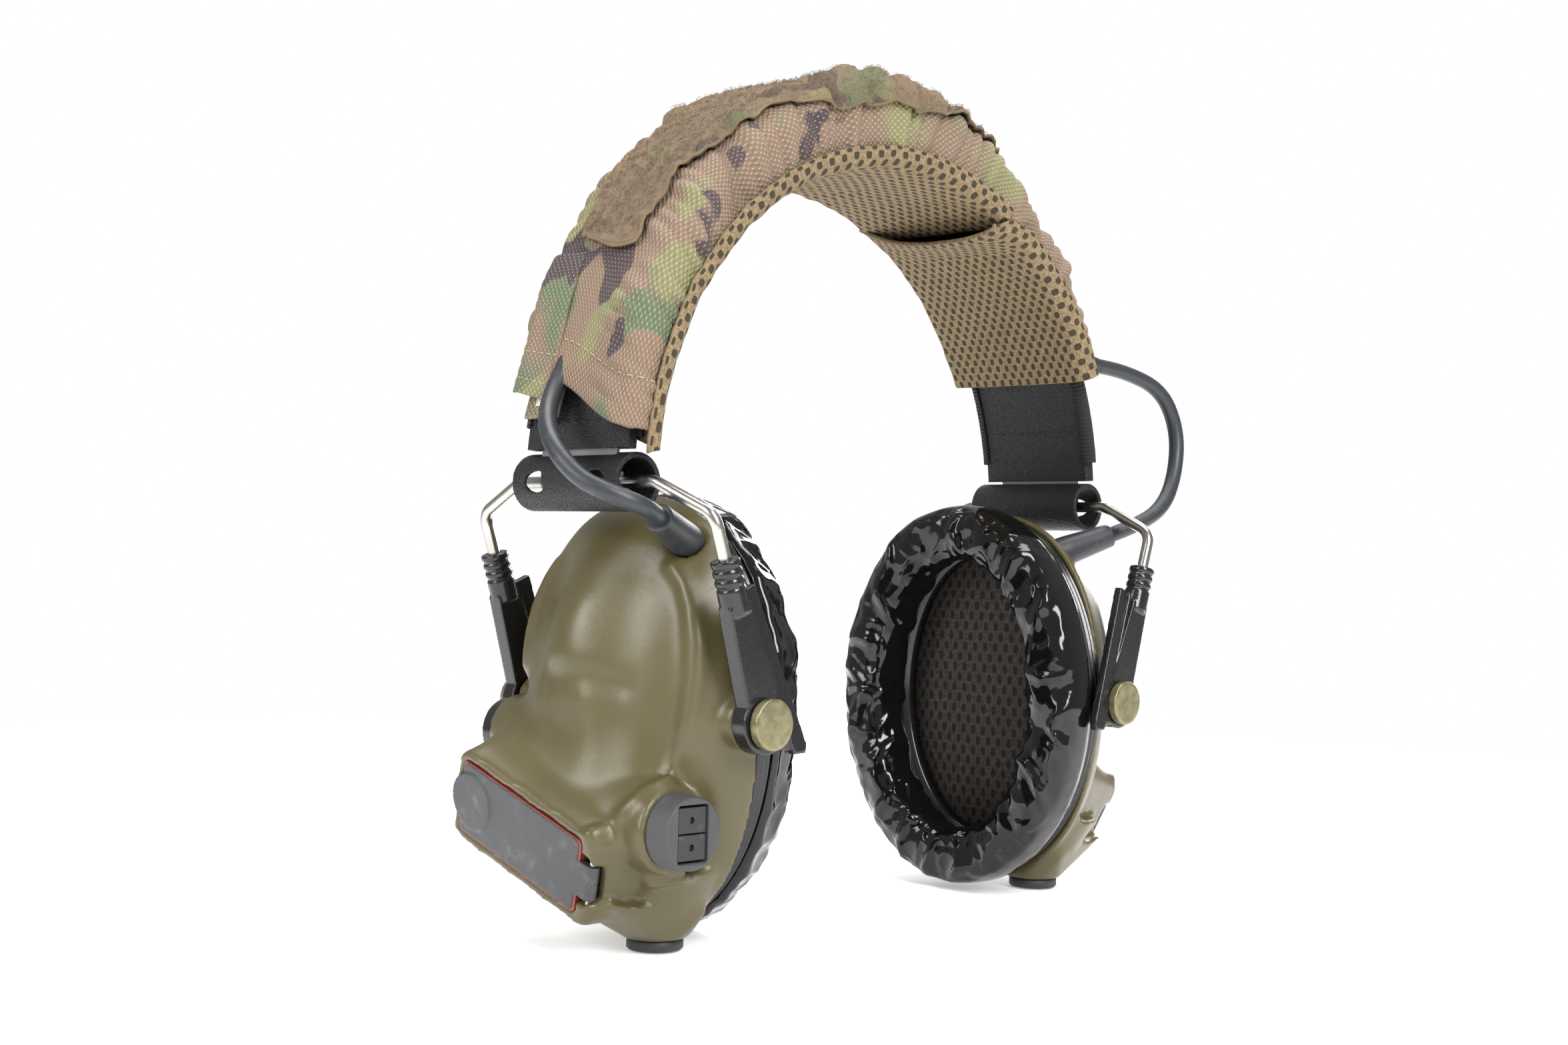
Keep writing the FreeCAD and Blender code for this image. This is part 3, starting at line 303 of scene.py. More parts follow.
def vinyl():
    finish = Finish("cushion_vinyl", Base_Color=(0.0035, 0.0035, 0.004), Specular_IOR_Level=0.42)
    finish.set(Roughness=finish.noise(70.0, 3.0) * 0.1 + 0.06)
    small = finish.noise(260.0, 2.0, roughness=0.4)
    finish.bump(small * 0.6 + finish.noise(110.0, 1.0, seed=2.0), 0.0007, 0.45)
    return finish.material


def liner_foam():
    finish = Finish("liner_foam", Roughness=0.9)
    _, y, z = split(finish.place())
    turn = 2 * math.pi / HOLE_PITCH
    holes = ((y * turn).sine() * (z * (turn * 0.62)).sine()).between(0.25, 0.5)
    fibres = finish.noise(1400.0, 3.0)
    cloth = finish.mix(fibres.between(0.4, 0.65), (0.020, 0.015, 0.012), (0.055, 0.043, 0.036))
    # Painted shade: the holes are coloured near black for the shade inside them; they are not cut through.
    finish.set(Base_Color=finish.mix(holes, cloth, (0.003, 0.003, 0.003)))
    finish.bump(fibres * 0.3 - holes, 0.0007, 0.9)
    return finish.material


def open_foam():
    finish = Finish("windscreen_foam", Roughness=0.95)
    grain = finish.noise(900.0, 5.0, roughness=0.8)
    finish.set(Base_Color=finish.mix(grain.between(0.35, 0.7), (0.012, 0.011, 0.010), (0.10, 0.095, 0.085)))
    finish.bump(grain, 0.0008, 1.0)
    return finish.material


def leatherette():
    finish = Finish("band_leatherette", Base_Color=(0.008, 0.008, 0.009), Specular_IOR_Level=0.35)
    pebbles = finish.cells(1100.0, "DISTANCE_TO_EDGE").between(0.0, 0.25)
    creases = finish.noise(90.0, 4.0, roughness=0.6).between(0.4, 0.6)
    finish.set(Roughness=pebbles * -0.15 + 0.6)
    finish.bump(pebbles * 0.5 + creases, 0.00025, 0.8)
    return finish.material


def ribbed_tape():
    """Ribs run across the tape; u is the length along it in metres."""
    finish = Finish("edge_tape", Base_Color=(0.010, 0.010, 0.011), Roughness=0.75)
    along, _, _ = split(finish.place("UV"))
    ribs = (along * (2 * math.pi / RIB_PITCH)).sine()
    finish.bump(ribs + finish.noise(3000.0, 2.0) * 0.3, 0.0003, 1.0)
    return finish.material


# %% [markdown]
# The cover's nylon is printed with soft-edged blotches in four earth colours. Each colour is a noise
# field cut at a level, one laid over the next, as a screen printer would. The weave comes from two sine
# waves along the cloth's own u and v, which are in metres, so threads follow the cloth round the band.
# The weave also puts painted shade in the gaps between threads and a painted highlight on the knot tops,
# and the pits of the mesh lining are painted dark as the shade inside them.

# %% Printed canvas, fuzzy patch and mesh lining
TAN, GREEN = (0.225, 0.150, 0.100), (0.105, 0.145, 0.075)
STRAW, PLUM = (0.225, 0.215, 0.095), (0.050, 0.031, 0.037)


def blotches(finish, seed):
    """Four printed colours, in the object's own space."""
    where = finish.node("Mapping", None, {"Vector": finish.place(), "Scale": (1.0, 1.25, 0.9)})

    def patch(scale, shift, level, edge=0.006):
        field = finish.noise(scale, 2.0, where, 0.45, seed + shift)
        return field.between(level - edge, level + edge)

    colour = finish.mix(patch(30.0, 1.0, 0.52, 0.03), TAN, GREEN)
    colour = finish.mix(patch(34.0, 11.0, 0.545, 0.02), colour, STRAW)
    colour = finish.mix(patch(27.0, 31.0, 0.55), colour, TAN)
    colour = finish.mix(patch(44.0, 23.0, 0.595), colour, PLUM)
    grime = finish.noise(18.0, 3.0, seed=seed).between(0.4, 0.7)
    return finish.mix(grime * 0.18, colour, (0.16, 0.12, 0.08))


THREAD_PITCH, PIT_WIDTH, PIT_LENGTH = 0.0019, 0.0032, 0.0046


def printed_canvas():
    finish = Finish("printed_canvas", Roughness=0.85)
    u, v, _ = split(finish.place("UV"))
    turn = 2 * math.pi / THREAD_PITCH
    knots = (u * turn).sine() * (v * turn).sine() * 0.5 + 0.5
    threads = finish.noise(1800.0, 2.0)
    colour = blotches(finish, 0.0)
    # Painted shade: the gaps between the threads are darkened towards a dark brown, as shade falling between
    # them.
    colour = finish.mix((1.0 - knots) * 0.38, colour, (0.07, 0.055, 0.04))
    # Painted highlight: the tops of the thread knots are lightened towards a pale straw, as light catching
    # them.
    finish.set(Base_Color=finish.mix(knots.between(0.72, 1.0) * 0.38, colour, (0.55, 0.50, 0.42)))
    finish.bump(knots + threads * 0.25, 0.00035, 0.9)
    return finish.material


def fuzzy_loop():
    finish = Finish("fuzzy_loop", Roughness=0.95)
    fuzz = finish.noise(1100.0, 5.0, roughness=0.8)
    colour = finish.mix(fuzz.between(0.35, 0.7), (0.13, 0.09, 0.045), (0.46, 0.36, 0.21))
    finish.set(Base_Color=finish.mix(0.35, blotches(finish, 4.0), colour))
    finish.bump(fuzz, 0.0012, 1.0)
    return finish.material


def spacer_mesh():
    finish = Finish("spacer_mesh", Roughness=0.9)
    u, v, _ = split(finish.place("UV"))
    rows, files = (u * (2 * math.pi / PIT_LENGTH)).sine(), (v * (2 * math.pi / PIT_WIDTH)).sine()
    pits = (rows * files).between(0.2, 0.5)
    yarn = finish.noise(1600.0, 3.0)
    cloth = finish.mix(yarn.between(0.35, 0.65), (0.135, 0.095, 0.045), (0.255, 0.19, 0.105))
    # Painted shade: the pits of the mesh are coloured dark brown for the shade inside them.
    finish.set(Base_Color=finish.mix(pits, cloth, (0.035, 0.024, 0.012)))
    finish.bump(yarn * 0.3 - pits, 0.0009, 1.0)
    return finish.material


# %% [markdown]
# Every finish is made once and looked up by name. Each solid of the frame gets the one that its record
# names, so a hidden part such as the board or the battery is finished too.

# %% All finishes by name
FINISHES = {
    "olive_plastic": olive_plastic(),
    "olive_button": olive_button(),
    "black_plastic": black_plastic(),
    "grey_plastic": worn_grey_plastic(),
    "black_rubber": rubber("black_rubber", (0.018, 0.019, 0.021)),
    "keypad_rubber": rubber("keypad_rubber", (0.045, 0.046, 0.048), 0.6),
    "cable_rubber": rubber("cable_rubber", (0.020, 0.023, 0.027), 0.45),
    "red_gasket": plain("red_gasket", (0.21, 0.028, 0.018), 0.5),
    "stainless_wire": plain("stainless_wire", (0.46, 0.44, 0.41), 0.26, Metallic=1.0),
    "spring_steel": plain("spring_steel", (0.42, 0.41, 0.40), 0.35, Metallic=1.0),
    "nickel": plain("nickel", (0.55, 0.52, 0.47), 0.3, Metallic=1.0),
    "board_green": plain("board_green", (0.02, 0.11, 0.045), 0.45),
    "battery_wrap": plain("battery_wrap", (0.10, 0.10, 0.11), 0.3),
    "padding": plain("padding", (0.55, 0.52, 0.42), 0.9, 300.0, 0.0004),
    "thread": plain("thread", (0.42, 0.34, 0.20), 0.8, 900.0),
    "black_thread": plain("black_thread", (0.01, 0.01, 0.01), 0.6, 900.0),
    "cushion_skin": vinyl(),
    "dark_foam": liner_foam(),
    "windscreen": open_foam(),
    "black_leather": leatherette(),
    "black_tape": ribbed_tape(),
    "canvas": printed_canvas(),
    "fuzzy": fuzzy_loop(),
    "mesh_lining": spacer_mesh(),
    "patch_rim": plain("patch_rim", (0.16, 0.115, 0.06), 0.9, 900.0, 0.0003),
    "label_film": plain("label_film", (0.62, 0.60, 0.52), 0.25, 400.0),
}
for entry in frame["record"]["subparts"]:
    node = frame["nodes"][entry["node"]]
    node.data.materials.clear()
    node.data.materials.append(FINISHES[entry["material_slot"]])
print(len(FINISHES), "finishes")

# %% [markdown]
# The floor is a disc of white paper a hair below the plugs. It glows a little, so that it comes out as
# white as the surround and its far edge does not show, while a soft shadow still forms under the cups.

# %% The floor
FLOOR_RADIUS, FLOOR_DROP, FLOOR_GLOW = 0.62, 0.0004, 0.34
bm = bmesh.new()
bmesh.ops.create_circle(bm, cap_ends=True, segments=96, radius=FLOOR_RADIUS)
bmesh.ops.translate(bm, vec=(0, 0, -FLOOR_DROP), verts=bm.verts)
floor_mesh = bpy.data.meshes.new("floor")
bm.to_mesh(floor_mesh)
bm.free()
floor = bpy.data.objects.new("floor", floor_mesh)
bpy.context.collection.objects.link(floor)
paper = Finish("floor_paper", Base_Color=(0.93, 0.93, 0.93), Roughness=0.95, Specular_IOR_Level=0.1,
               Emission_Color=(1.0, 1.0, 1.0), Emission_Strength=FLOOR_GLOW)
floor_mesh.materials.append(paper.material)
print("floor, radius", FLOOR_RADIUS)

# %% [markdown]
# A few helpers serve every piece. place() links it, gives it a finish, and says which body it rides on
# and hides the solids of the frame it stands for. baked() turns modifiers into plain mesh. moulded() rounds a
# copy of a frame solid: it is welded first, because the frame keeps its triangles loose, and then a voxel
# remesh and a smooth take the sharpness off its corners, as a mould does.

# %% Helpers for pieces
WELD = 2e-6


def place(piece, finish, body, slot, stands_for=(), smooth=True):
    if piece.name not in bpy.context.collection.objects:
        bpy.context.collection.objects.link(piece)
    piece.data.materials.clear()
    piece.data.materials.append(FINISHES[finish])
    if smooth:
        piece.data.shade_smooth()
    if body:
        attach(piece, body)
    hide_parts(*stands_for)
    print(piece.name, "in", finish, "with", len(piece.data.polygons), "faces")
    return piece


def baked(piece):
    """The piece's mesh with its modifiers applied."""
    if piece.name not in bpy.context.collection.objects:
        bpy.context.collection.objects.link(piece)
    bpy.context.view_layer.update()
    mesh = bpy.data.meshes.new_from_object(piece.evaluated_get(bpy.context.evaluated_depsgraph_get()))
    piece.modifiers.clear()
    old = piece.data
    piece.data = mesh
    bpy.data.meshes.remove(old)
    return piece


def from_bmesh(name, bm):
    mesh = bpy.data.meshes.new(name)
    bm.to_mesh(mesh)
    bm.free()
    return bpy.data.objects.new(name, mesh)


def rounded(piece, voxel, rounds):
    """A voxel remesh and a few rounds of smoothing, applied. The voxel is in millimetres."""
    remesh = piece.modifiers.new("remesh", "REMESH")
    remesh.mode = "VOXEL"
    remesh.voxel_size = voxel * MM
    relax = piece.modifiers.new("relax", "SMOOTH")
    relax.iterations = rounds
    return baked(piece)


def moulded(name, node, voxel, rounds, mesh=None):
    """A copy of a frame solid whose sharp corners are rounded as in a mould."""
    mesh = mesh or frame["nodes"][node].data.copy()
    bm = bmesh.new()
    bm.from_mesh(mesh)
    bmesh.ops.remove_doubles(bm, verts=bm.verts, dist=WELD)
    bm.to_mesh(mesh)
    bm.free()
    return rounded(bpy.data.objects.new(name, mesh), voxel, rounds)


def near_line(point, line):
    """Distance from a point to a chain of points, and how far along the chain, from 0 to 1."""
    best, share = 1e9, 0.0
    for i, (start, end) in enumerate(zip(line, line[1:])):
        run = end - start
        t = max(0.0, min(1.0, (point - start).dot(run) / run.length_squared))
        distance = (point - start - run * t).length
        if distance < best:
            best, share = distance, (i + t) / (len(line) - 1)
    return best, share


SIDES = (("left", -1), ("right", 1))
HINGE_Z = 111.0

# %% [markdown]
# The cable comes first, because it has to fit the frame's route. It is one smooth spline on each side,
# from under the cover to the rubber boot of the cup. A cup folds, slides and tilts; each loop is cut
# into three lengths, which stay fixed and do not follow those joints. The cuts meet face to face.

# %% Cable loops
def on_arch(angle, radius, y):
    turn = math.radians(angle)
    return Vector((radius * math.cos(turn), y, HINGE_Z + radius * math.sin(turn))) * MM


BOOT_TIP = Vector((88.1, -26.9, 102.7)) * MM
BOOT_WAY = (BOOT_TIP - Vector((75.2, -21.4, 98.0)) * MM).normalized()
CABLE = 4.5 * MM


def mirrored(point):
    return Vector((-point.x, point.y, point.z))


ROUTES = {
    "left": [on_arch(145.2, 94.7, 3.0), on_arch(154.5, 94.8, 4.0), on_arch(163.2, 95.2, 5.0)]
    + [Vector(spot) * MM for spot in ((-97.3, 2.6, 130.5), (-104.0, -4.8, 123.0), (-106.7, -12.6, 116.7),
                                      (-105.4, -19.4, 110.9), (-102.2, -25.0, 108.1),
                                      (-97.7, -28.4, 106.1))]
    + [mirrored(BOOT_TIP + BOOT_WAY * 5.4 * MM), mirrored(BOOT_TIP)],
    "right": [on_arch(49.8, 94.7, -9.0), on_arch(38.0, 94.8, -13.5), on_arch(26.5, 95.5, -18.0)]
    + [Vector(spot) * MM for spot in ((100.0, -22.0, 152.5), (113.5, -27.0, 147.5), (119.5, -29.0, 135.5),
                                      (116.5, -30.5, 122.0), (107.5, -32.5, 111.5))]
    + [BOOT_TIP + BOOT_WAY * 10.0 * MM, BOOT_TIP],
}


def smooth_line(route):
    """Points of the NURBS spline that the route controls."""
    curve = bpy.data.curves.new("route", "CURVE")
    curve.dimensions = "3D"
    curve.resolution_u = 10
    spline = curve.splines.new("NURBS")
    spline.points.add(len(route) - 1)
    for point, place_ in zip(spline.points, route):
        point.co = (*place_, 1.0)
    spline.order_u = 3
    spline.use_endpoint_u = True
    mesh = bpy.data.meshes.new_from_object(bpy.data.objects.new("route", curve))
    return [vertex.co.copy() for vertex in mesh.vertices]


def line_length(points):
    return sum((b - a).length for a, b in zip(points, points[1:]))


def round_tube(name, points, diameter):
    curve = bpy.data.curves.new(name, "CURVE")
    curve.dimensions = "3D"
    curve.bevel_depth = diameter / 2
    curve.bevel_resolution = 5
    curve.use_fill_caps = True
    spline = curve.splines.new("POLY")
    spline.points.add(len(points) - 1)
    for point, place_ in zip(spline.points, points):
        point.co = (*place_, 1.0)
    return bpy.data.objects.new(name, bpy.data.meshes.new_from_object(bpy.data.objects.new("line", curve)))


def cut_in_three(points):
    total, done, cuts = line_length(points), 0.0, [0]
    for i, (a, b) in enumerate(zip(points, points[1:]), start=1):
        done += (b - a).length
        if done >= total * len(cuts) / 3 and len(cuts) < 3:
            cuts.append(i)
    cuts.append(len(points) - 1)
    return [points[a:b + 1] for a, b in zip(cuts, cuts[1:])]


for side, _ in SIDES:
    for part, points in enumerate(cut_in_three(smooth_line(ROUTES[side]))):
        piece = round_tube(f"{side}_cable_{part + 1}", points, CABLE)
        place(piece, "cable_rubber", None, "black_rubber", [f"{side}_cable_loop"])
        tuple(points[0])
        tuple(points[-1])
        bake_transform(piece)
        tuple(points[0])
        line_length(points)
        [tuple(point) for point in points]
        print(piece.name, "is", round(line_length(points), 4), "m long")

# %% [markdown]
# The olive shell is sculpted from the frame's solid. The solid has the right walls, bosses, battery bay
# and hinge lugs but sharp corners, and lacks the wedge that runs from the battery bay down to the plug.
# The hull of a few points adds the wedge before the remesh, which joins the two. A few brush strokes
# along lines then raise the ridges and press in the dent, and soften() widens the hollow beside a crease.

# %% Shells
def brush(piece, sign, line, height, width, only=None):
    """Raise (or press in) the skin along a line, in millimetres, with a bell-shaped stroke."""
    chain = [Vector((sign * x, y, z)) * MM for x, y, z in line]
    low = [min(point[i] for point in chain) - 3 * width * MM for i in range(3)]
    high = [max(point[i] for point in chain) + 3 * width * MM for i in range(3)]
    moves = []
    for vertex in piece.data.vertices:
        co = vertex.co
        if not all(low[i] < co[i] < high[i] for i in range(3)):
            continue
        if only and not only(vertex):
            continue
        distance, _ = near_line(co, chain)
        moves.append((vertex, vertex.normal * (height * MM * math.exp(-(distance / (width * MM)) ** 2))))
    for vertex, move in moves:
        vertex.co += move


RIDGE = [(78.6, -22.0, 91.5), (77.9, -25.3, 87.5), (78.0, -28.3, 81.5), (78.6, -30.6, 73.5),
         (79.2, -31.2, 65.5), (80.0, -30.6, 57.4), (81.0, -29.2, 49.3), (83.0, -27.5, 43.5)]
STEP = [(84.5, -28.5, 42.5), (88.0, -28.0, 40.8), (92.6, -26.8, 37.9), (96.0, -23.5, 34.2),
        (100.6, -20.5, 30.4)]
CREASE = [(93.5, 22.0, 52.0), (94.0, 9.0, 46.0), (94.0, -5.0, 40.8), (92.5, -15.0, 38.5),
          (88.0, -22.0, 42.0)]
DENT = [(94.0, 4.0, 64.5), (94.0, -3.0, 65.5), (92.8, -10.0, 64.8), (90.0, -16.5, 63.5)]
TENT = [(92.0, -2.5, 82.0), (94.0, -1.0, 74.0), (94.2, -2.0, 67.0)]
CRESCENT = [(79.5, -31.0, 19.5), (83.4, -28.6, 19.8), (86.5, -26.0, 18.5), (88.5, -24.5, 15.5)]
MARK = [(93.8, -7.3, 60.6), (93.8, -6.4, 59.9), (93.8, -7.3, 59.2), (93.8, -8.2, 59.9), (93.8, -7.3, 60.6)]
WEDGE = [(95.0, -22.0, 13.8), (95.5, -12.0, 10.6), (93.0, 1.0, 12.5), (82.3, -13.0, 3.3), (79.6, -19.0, 3.3),
         (73.5, -21.6, 3.3), (68.3, -20.0, 3.6), (79.6, -7.0, 3.3), (73.5, -4.3, 3.3), (68.5, -27.0, 10.8),
         (68.0, 0.0, 4.2)]
WEDGE_EDGE = [(95.0, -22.0, 13.8), (80.0, -25.5, 12.2), (68.5, -27.0, 10.8)]
CENTRE_LINE = [(92.0, 0.0, 100.0), (92.0, 0.0, 60.0)]


def ease(value, low, high):
    """0 at low, 1 at high, easing at both ends."""
    t = max(0.0, min(1.0, (value - low) / (high - low)))
    return t * t * (3 - 2 * t)


def outward(sign):
    return lambda vertex: vertex.normal.x * sign > -0.3


def flatten_face(piece, sign):
    """The real face is a shallow tent, not a dome: lower between crown and ridge, both skins together."""
    for vertex in piece.data.vertices:
        x, y, z = vertex.co / MM
        low = ease(z, 43.0, 56.0) if y < 6 else ease(z, 57.0, 70.0)
        share = low * ease(z, 103.0, 88.0) * ease(abs(x), 70.0, 77.0)
        press = -1.9 * math.exp(-((abs(y) - 14.5) / 7.0) ** 2)
        lift = 1.5 * math.exp(-((abs(y) - 31.0) / 4.0) ** 2)
        vertex.co.x += sign * (press + lift) * share * MM


def soften(piece, sign, line, width, rounds, beyond=80.0):
    """Smooth only near a line, for the wide hollow where one form runs into another."""
    chain = [Vector((sign * x, y, z)) * MM for x, y, z in line]
    group = piece.vertex_groups.new(name="soft")
    for vertex in piece.data.vertices:
        if abs(vertex.co.x) > beyond * MM:
            distance, _ = near_line(vertex.co, chain)
            if distance < 2.2 * width * MM:
                group.add([vertex.index], math.exp(-(distance / (width * MM)) ** 2), "REPLACE")
    modifier = piece.modifiers.new("soften", "SMOOTH")
    modifier.factor = 0.5
    modifier.iterations = rounds
    modifier.vertex_group = "soft"
    return baked(piece)


def with_hull(node, name, points, sign):
    """The frame's solid and the hull of a few points, to be remeshed as one."""
    bm = bmesh.new()
    bm.from_mesh(frame["nodes"][node].data)
    verts = [bm.verts.new(Vector((sign * x, y, z)) * MM) for x, y, z in points]
    hull = bmesh.ops.convex_hull(bm, input=verts)
    bmesh.ops.delete(bm, geom=list({item for item in hull["geom_interior"]
                                    if isinstance(item, bmesh.types.BMVert)}), context="VERTS")
    mesh = bpy.data.meshes.new(name)
    bm.to_mesh(mesh)
    bm.free()
    return mesh


for side, sign in SIDES:
    shell = moulded(f"{side}_cup_shell", f"{side}_shell", 0.95, 7,
                    with_hull(f"{side}_shell", f"{side}_cup_shell", WEDGE, sign))
    flatten_face(shell, sign)
    brush(shell, sign, CREASE, 2.0, 5.0, outward(sign))
    shell = soften(shell, sign, CREASE, 6.5, 60)
    shell = soften(shell, sign, WEDGE_EDGE, 6.0, 40, 66.0)
    shell = soften(shell, sign, CENTRE_LINE, 24.0, 14, 79.0)
    brush(shell, sign, RIDGE, 1.7, 2.5, outward(sign))
    brush(shell, sign, [(x, -y, z) for x, y, z in RIDGE[:5]], 1.3, 2.3, outward(sign))
    brush(shell, sign, STEP, 1.4, 1.8, outward(sign))
    brush(shell, sign, TENT, 0.6, 5.0, outward(sign))
    brush(shell, sign, DENT, -0.8, 3.4, outward(sign))
    brush(shell, sign, MARK, 0.22, 0.6, outward(sign))
    if side == "left":
        brush(shell, sign, CRESCENT, 2.2, 2.0, outward(sign))
    place(shell, "olive_plastic", f"{side}_cup", "olive_plastic", [f"{side}_shell"])

# %% [markdown]
# Small moulded pieces: arms, pivot buttons, boots, keypad and microphone. Their solids already have the
# real shape, so each one only needs its corners rounded, with a voxel fine enough for its smallest step.

# %% Small moulded pieces
MOULDED = {
    "arm_front": ("black_plastic", "arms", 0.32, 3),
    "arm_rear": ("black_plastic", "arms", 0.32, 3),
    "pivot_buttons": ("olive_button", "cup", 0.3, 3),
    "cable_boot": ("cable_rubber", "cup", 0.28, 4),
    "mic_frame": ("black_plastic", "cup", 0.22, 2),
    "tunnel": ("black_leather", None, 0.38, 3),
}
BLADE = [(x, y - 0.085 * (z - 50.0), z) for y in (43.9, 46.2)
         for x, z in ((76.5, 86.0), (72.2, 88.0), (57.0, 50.6), (57.4, 48.6), (61.2, 48.4), (66.0, 62.0))]
SLOTS = {entry["node"]: entry["material_slot"] for entry in frame["record"]["subparts"]}
for side, sign in SIDES:
    for kind, (finish, body, voxel, rounds) in MOULDED.items():
        node = f"{side}_{kind}"
        mesh = None
        if kind.startswith("arm"):
            face = 1 if kind == "arm_front" else -1
            mesh = with_hull(node, f"{node}_moulded", [(x, face * y, z) for x, y, z in BLADE], sign)
        piece = moulded(f"{node}_moulded", node, voxel, rounds, mesh)
        place(piece, finish, f"{side}_{body}" if body else "headband", SLOTS[node], [node])

for node, body, finish, voxel in (("keypad_ring", "left_cup", "keypad_rubber", 0.25),
                                  ("volume_up_button", "volume_up", "black_rubber", 0.16),
                                  ("volume_down_button", "volume_down", "black_rubber", 0.16)):
    place(moulded(f"{node}_moulded", node, voxel, 4), finish, body, SLOTS[node], [node])

# %% [markdown]
# The foam windscreen is a rounded disc of open foam. A coarse noise pushes its skin in and out by half a
# millimetre, so its outline is as ragged as torn foam.

# %% Windscreens
for side, sign in SIDES:
    foam = moulded(f"{side}_windscreen", f"{side}_mic_foam", 0.3, 2)
    for vertex in foam.data.vertices:
        vertex.co += vertex.normal * noise.noise(vertex.co * 700.0) * 0.5 * MM
    place(foam, "windscreen", f"{side}_cup", "dark_foam", [f"{side}_mic_foam"])

# %% [markdown]
# The battery door lies in a frame of its own: x points out of the box, y runs up the slope and z across
# the door. Its plate comes from the solid, with a round finger tab added at the upper end before the
# remesh joins the two.

# %% Battery door and its seal
BOX = {sign: Matrix.Translation(Vector((sign * 101.0, 4.5, 26.6)) * MM)
       @ Matrix.Rotation(math.radians(12.0) * sign, 4, "Y")
       @ Matrix.Rotation(math.radians(21.0), 4, "X") @ Matrix.Diagonal((sign, 1, 1, 1)) for _, sign in SIDES}


def battery_door(side, sign):
    node = f"{side}_battery_door"
    bm = bmesh.new()
    bm.from_mesh(frame["nodes"][node].data)
    bmesh.ops.remove_doubles(bm, verts=bm.verts, dist=WELD)
    tab = Matrix.Translation(Vector((-0.35, 19.0, 0)) * MM) @ Matrix.Rotation(math.pi / 2, 4, "Y")
    bmesh.ops.create_cone(bm, segments=48, radius1=7.6 * MM, radius2=7.2 * MM, depth=1.5 * MM,
                          cap_ends=True, matrix=BOX[sign] @ tab)
    return rounded(from_bmesh(f"{node}_plate", bm), 0.3, 3)


def door_seal(side, sign):
    """A thin lip that shows as a line round the closed door."""
    bm = bmesh.new()
    bmesh.ops.create_cube(bm, size=1.0, matrix=Matrix.Diagonal((2.2 * MM, 43.9 * MM, 19.2 * MM, 1)))
    bmesh.ops.bevel(bm, geom=[e for e in bm.edges if abs((e.verts[0].co - e.verts[1].co).x) > MM],
                    offset=1.4 * MM, segments=4, affect="EDGES", profile=0.5, material=-1)
    ends = [face for face in bm.faces if abs(face.normal.x) > 0.9]
    bmesh.ops.inset_region(bm, faces=ends, thickness=0.9 * MM)
    inner = [face for face in bm.faces if abs(face.normal.x) > 0.9 and len(face.verts) > 8]
    bmesh.ops.bridge_loops(bm, edges=list({e for face in inner for e in face.edges}))
    bmesh.ops.delete(bm, geom=inner, context="FACES_ONLY")
    bmesh.ops.recalc_face_normals(bm, faces=bm.faces)
    inset = Matrix.Translation(Vector((-1.35, 1.35, 0)) * MM)
    bmesh.ops.transform(bm, verts=bm.verts, matrix=BOX[sign] @ inset)
    if sign < 0:
        bmesh.ops.reverse_faces(bm, faces=bm.faces)
    bmesh.ops.recalc_face_normals(bm, faces=bm.faces)
    return from_bmesh(f"{side}_door_seal", bm)


for side, sign in SIDES:
    place(battery_door(side, sign), "grey_plastic", f"{side}_door", "grey_plastic",
          [f"{side}_battery_door"])
    place(door_seal(side, sign), "red_gasket", f"{side}_cup", "red_gasket", [f"{side}_door_gasket"],
          smooth=False)

# %% [markdown]
# The ear cushions are thin glossy vinyl over soft foam. A profile is spun into a ring and stretched to
# an oval. Then cloth simulation lets the skin of the face and the inner wall grow by up to a third, with
# its back edges held, under a little air pressure, so it has to buckle into the creases of a slack vinyl
# cover. The outer wall hardly grows, because on the real cushion it is drawn tight. How far a point moves
# is capped gently, and a ridged noise adds the sharpest creases, which the cloth is too coarse to make.
# The simulation runs ten times life size, because the solver is steadier with threads a centimetre long.

# %% Ear cushions
PIVOT_Z = 55.745
CUSHION_BACK, CUSHION_DEEP = 62.1, 14.4
RING_STEPS, PROFILE_STEPS, BIG = 260, 44, 10.0
INNER_HALF, OUTER_HALF = (27.0, 40.0), (43.0, 55.0)
CLOTH_STEPS, CLOTH_GROWTH, CLOTH_REACH = 24, 0.34, 5.0


def to_oval(co, sign, radius_in, radius_out):
    """A spun ring becomes the oval of the cup, from its inner half axes to its outer ones."""
    radius = math.hypot(co.y, co.z)
    share = (radius - radius_in) / (radius_out - radius_in)
    turn = math.atan2(co.z, co.y)
    wide, high = (inner + (outer - inner) * share for inner, outer in zip(INNER_HALF, OUTER_HALF))
    return Vector((sign * co.x, wide * math.cos(turn), PIVOT_Z + high * math.sin(turn)))


def spun_oval(name, profile, sign, steps, closed):
    bm = bmesh.new()
    verts = [bm.verts.new((x, radius, 0.0)) for radius, x in profile]
    pairs = list(zip(verts, verts[1:] + verts[:1])) if closed else list(zip(verts, verts[1:]))
    edges = [bm.edges.new(pair) for pair in pairs]
    bmesh.ops.spin(bm, geom=verts + edges, cent=(0, 0, 0), axis=(1, 0, 0), angle=2 * math.pi, steps=steps,
                   use_merge=True)
    for vertex in bm.verts:
        vertex.co = to_oval(vertex.co, sign, INNER_HALF[0], OUTER_HALF[0])
    bmesh.ops.recalc_face_normals(bm, faces=bm.faces)
    bmesh.ops.scale(bm, vec=(MM, MM, MM), verts=bm.verts)
    return from_bmesh(name, bm)


def cushion_profile():
    """A boxy section: flat face, full corners, the inner wall a little proud of the plate's edge."""
    points = []
    for i in range(PROFILE_STEPS + 1):
        turn = math.pi * i / PROFILE_STEPS
        run = math.copysign(abs(math.cos(turn)) ** 0.5, math.cos(turn))
        wide = 7.7 if run > 0 else 8.6
        points.append((35.0 + wide * run, CUSHION_BACK - CUSHION_DEEP * math.sin(turn) ** 0.45))
    return points


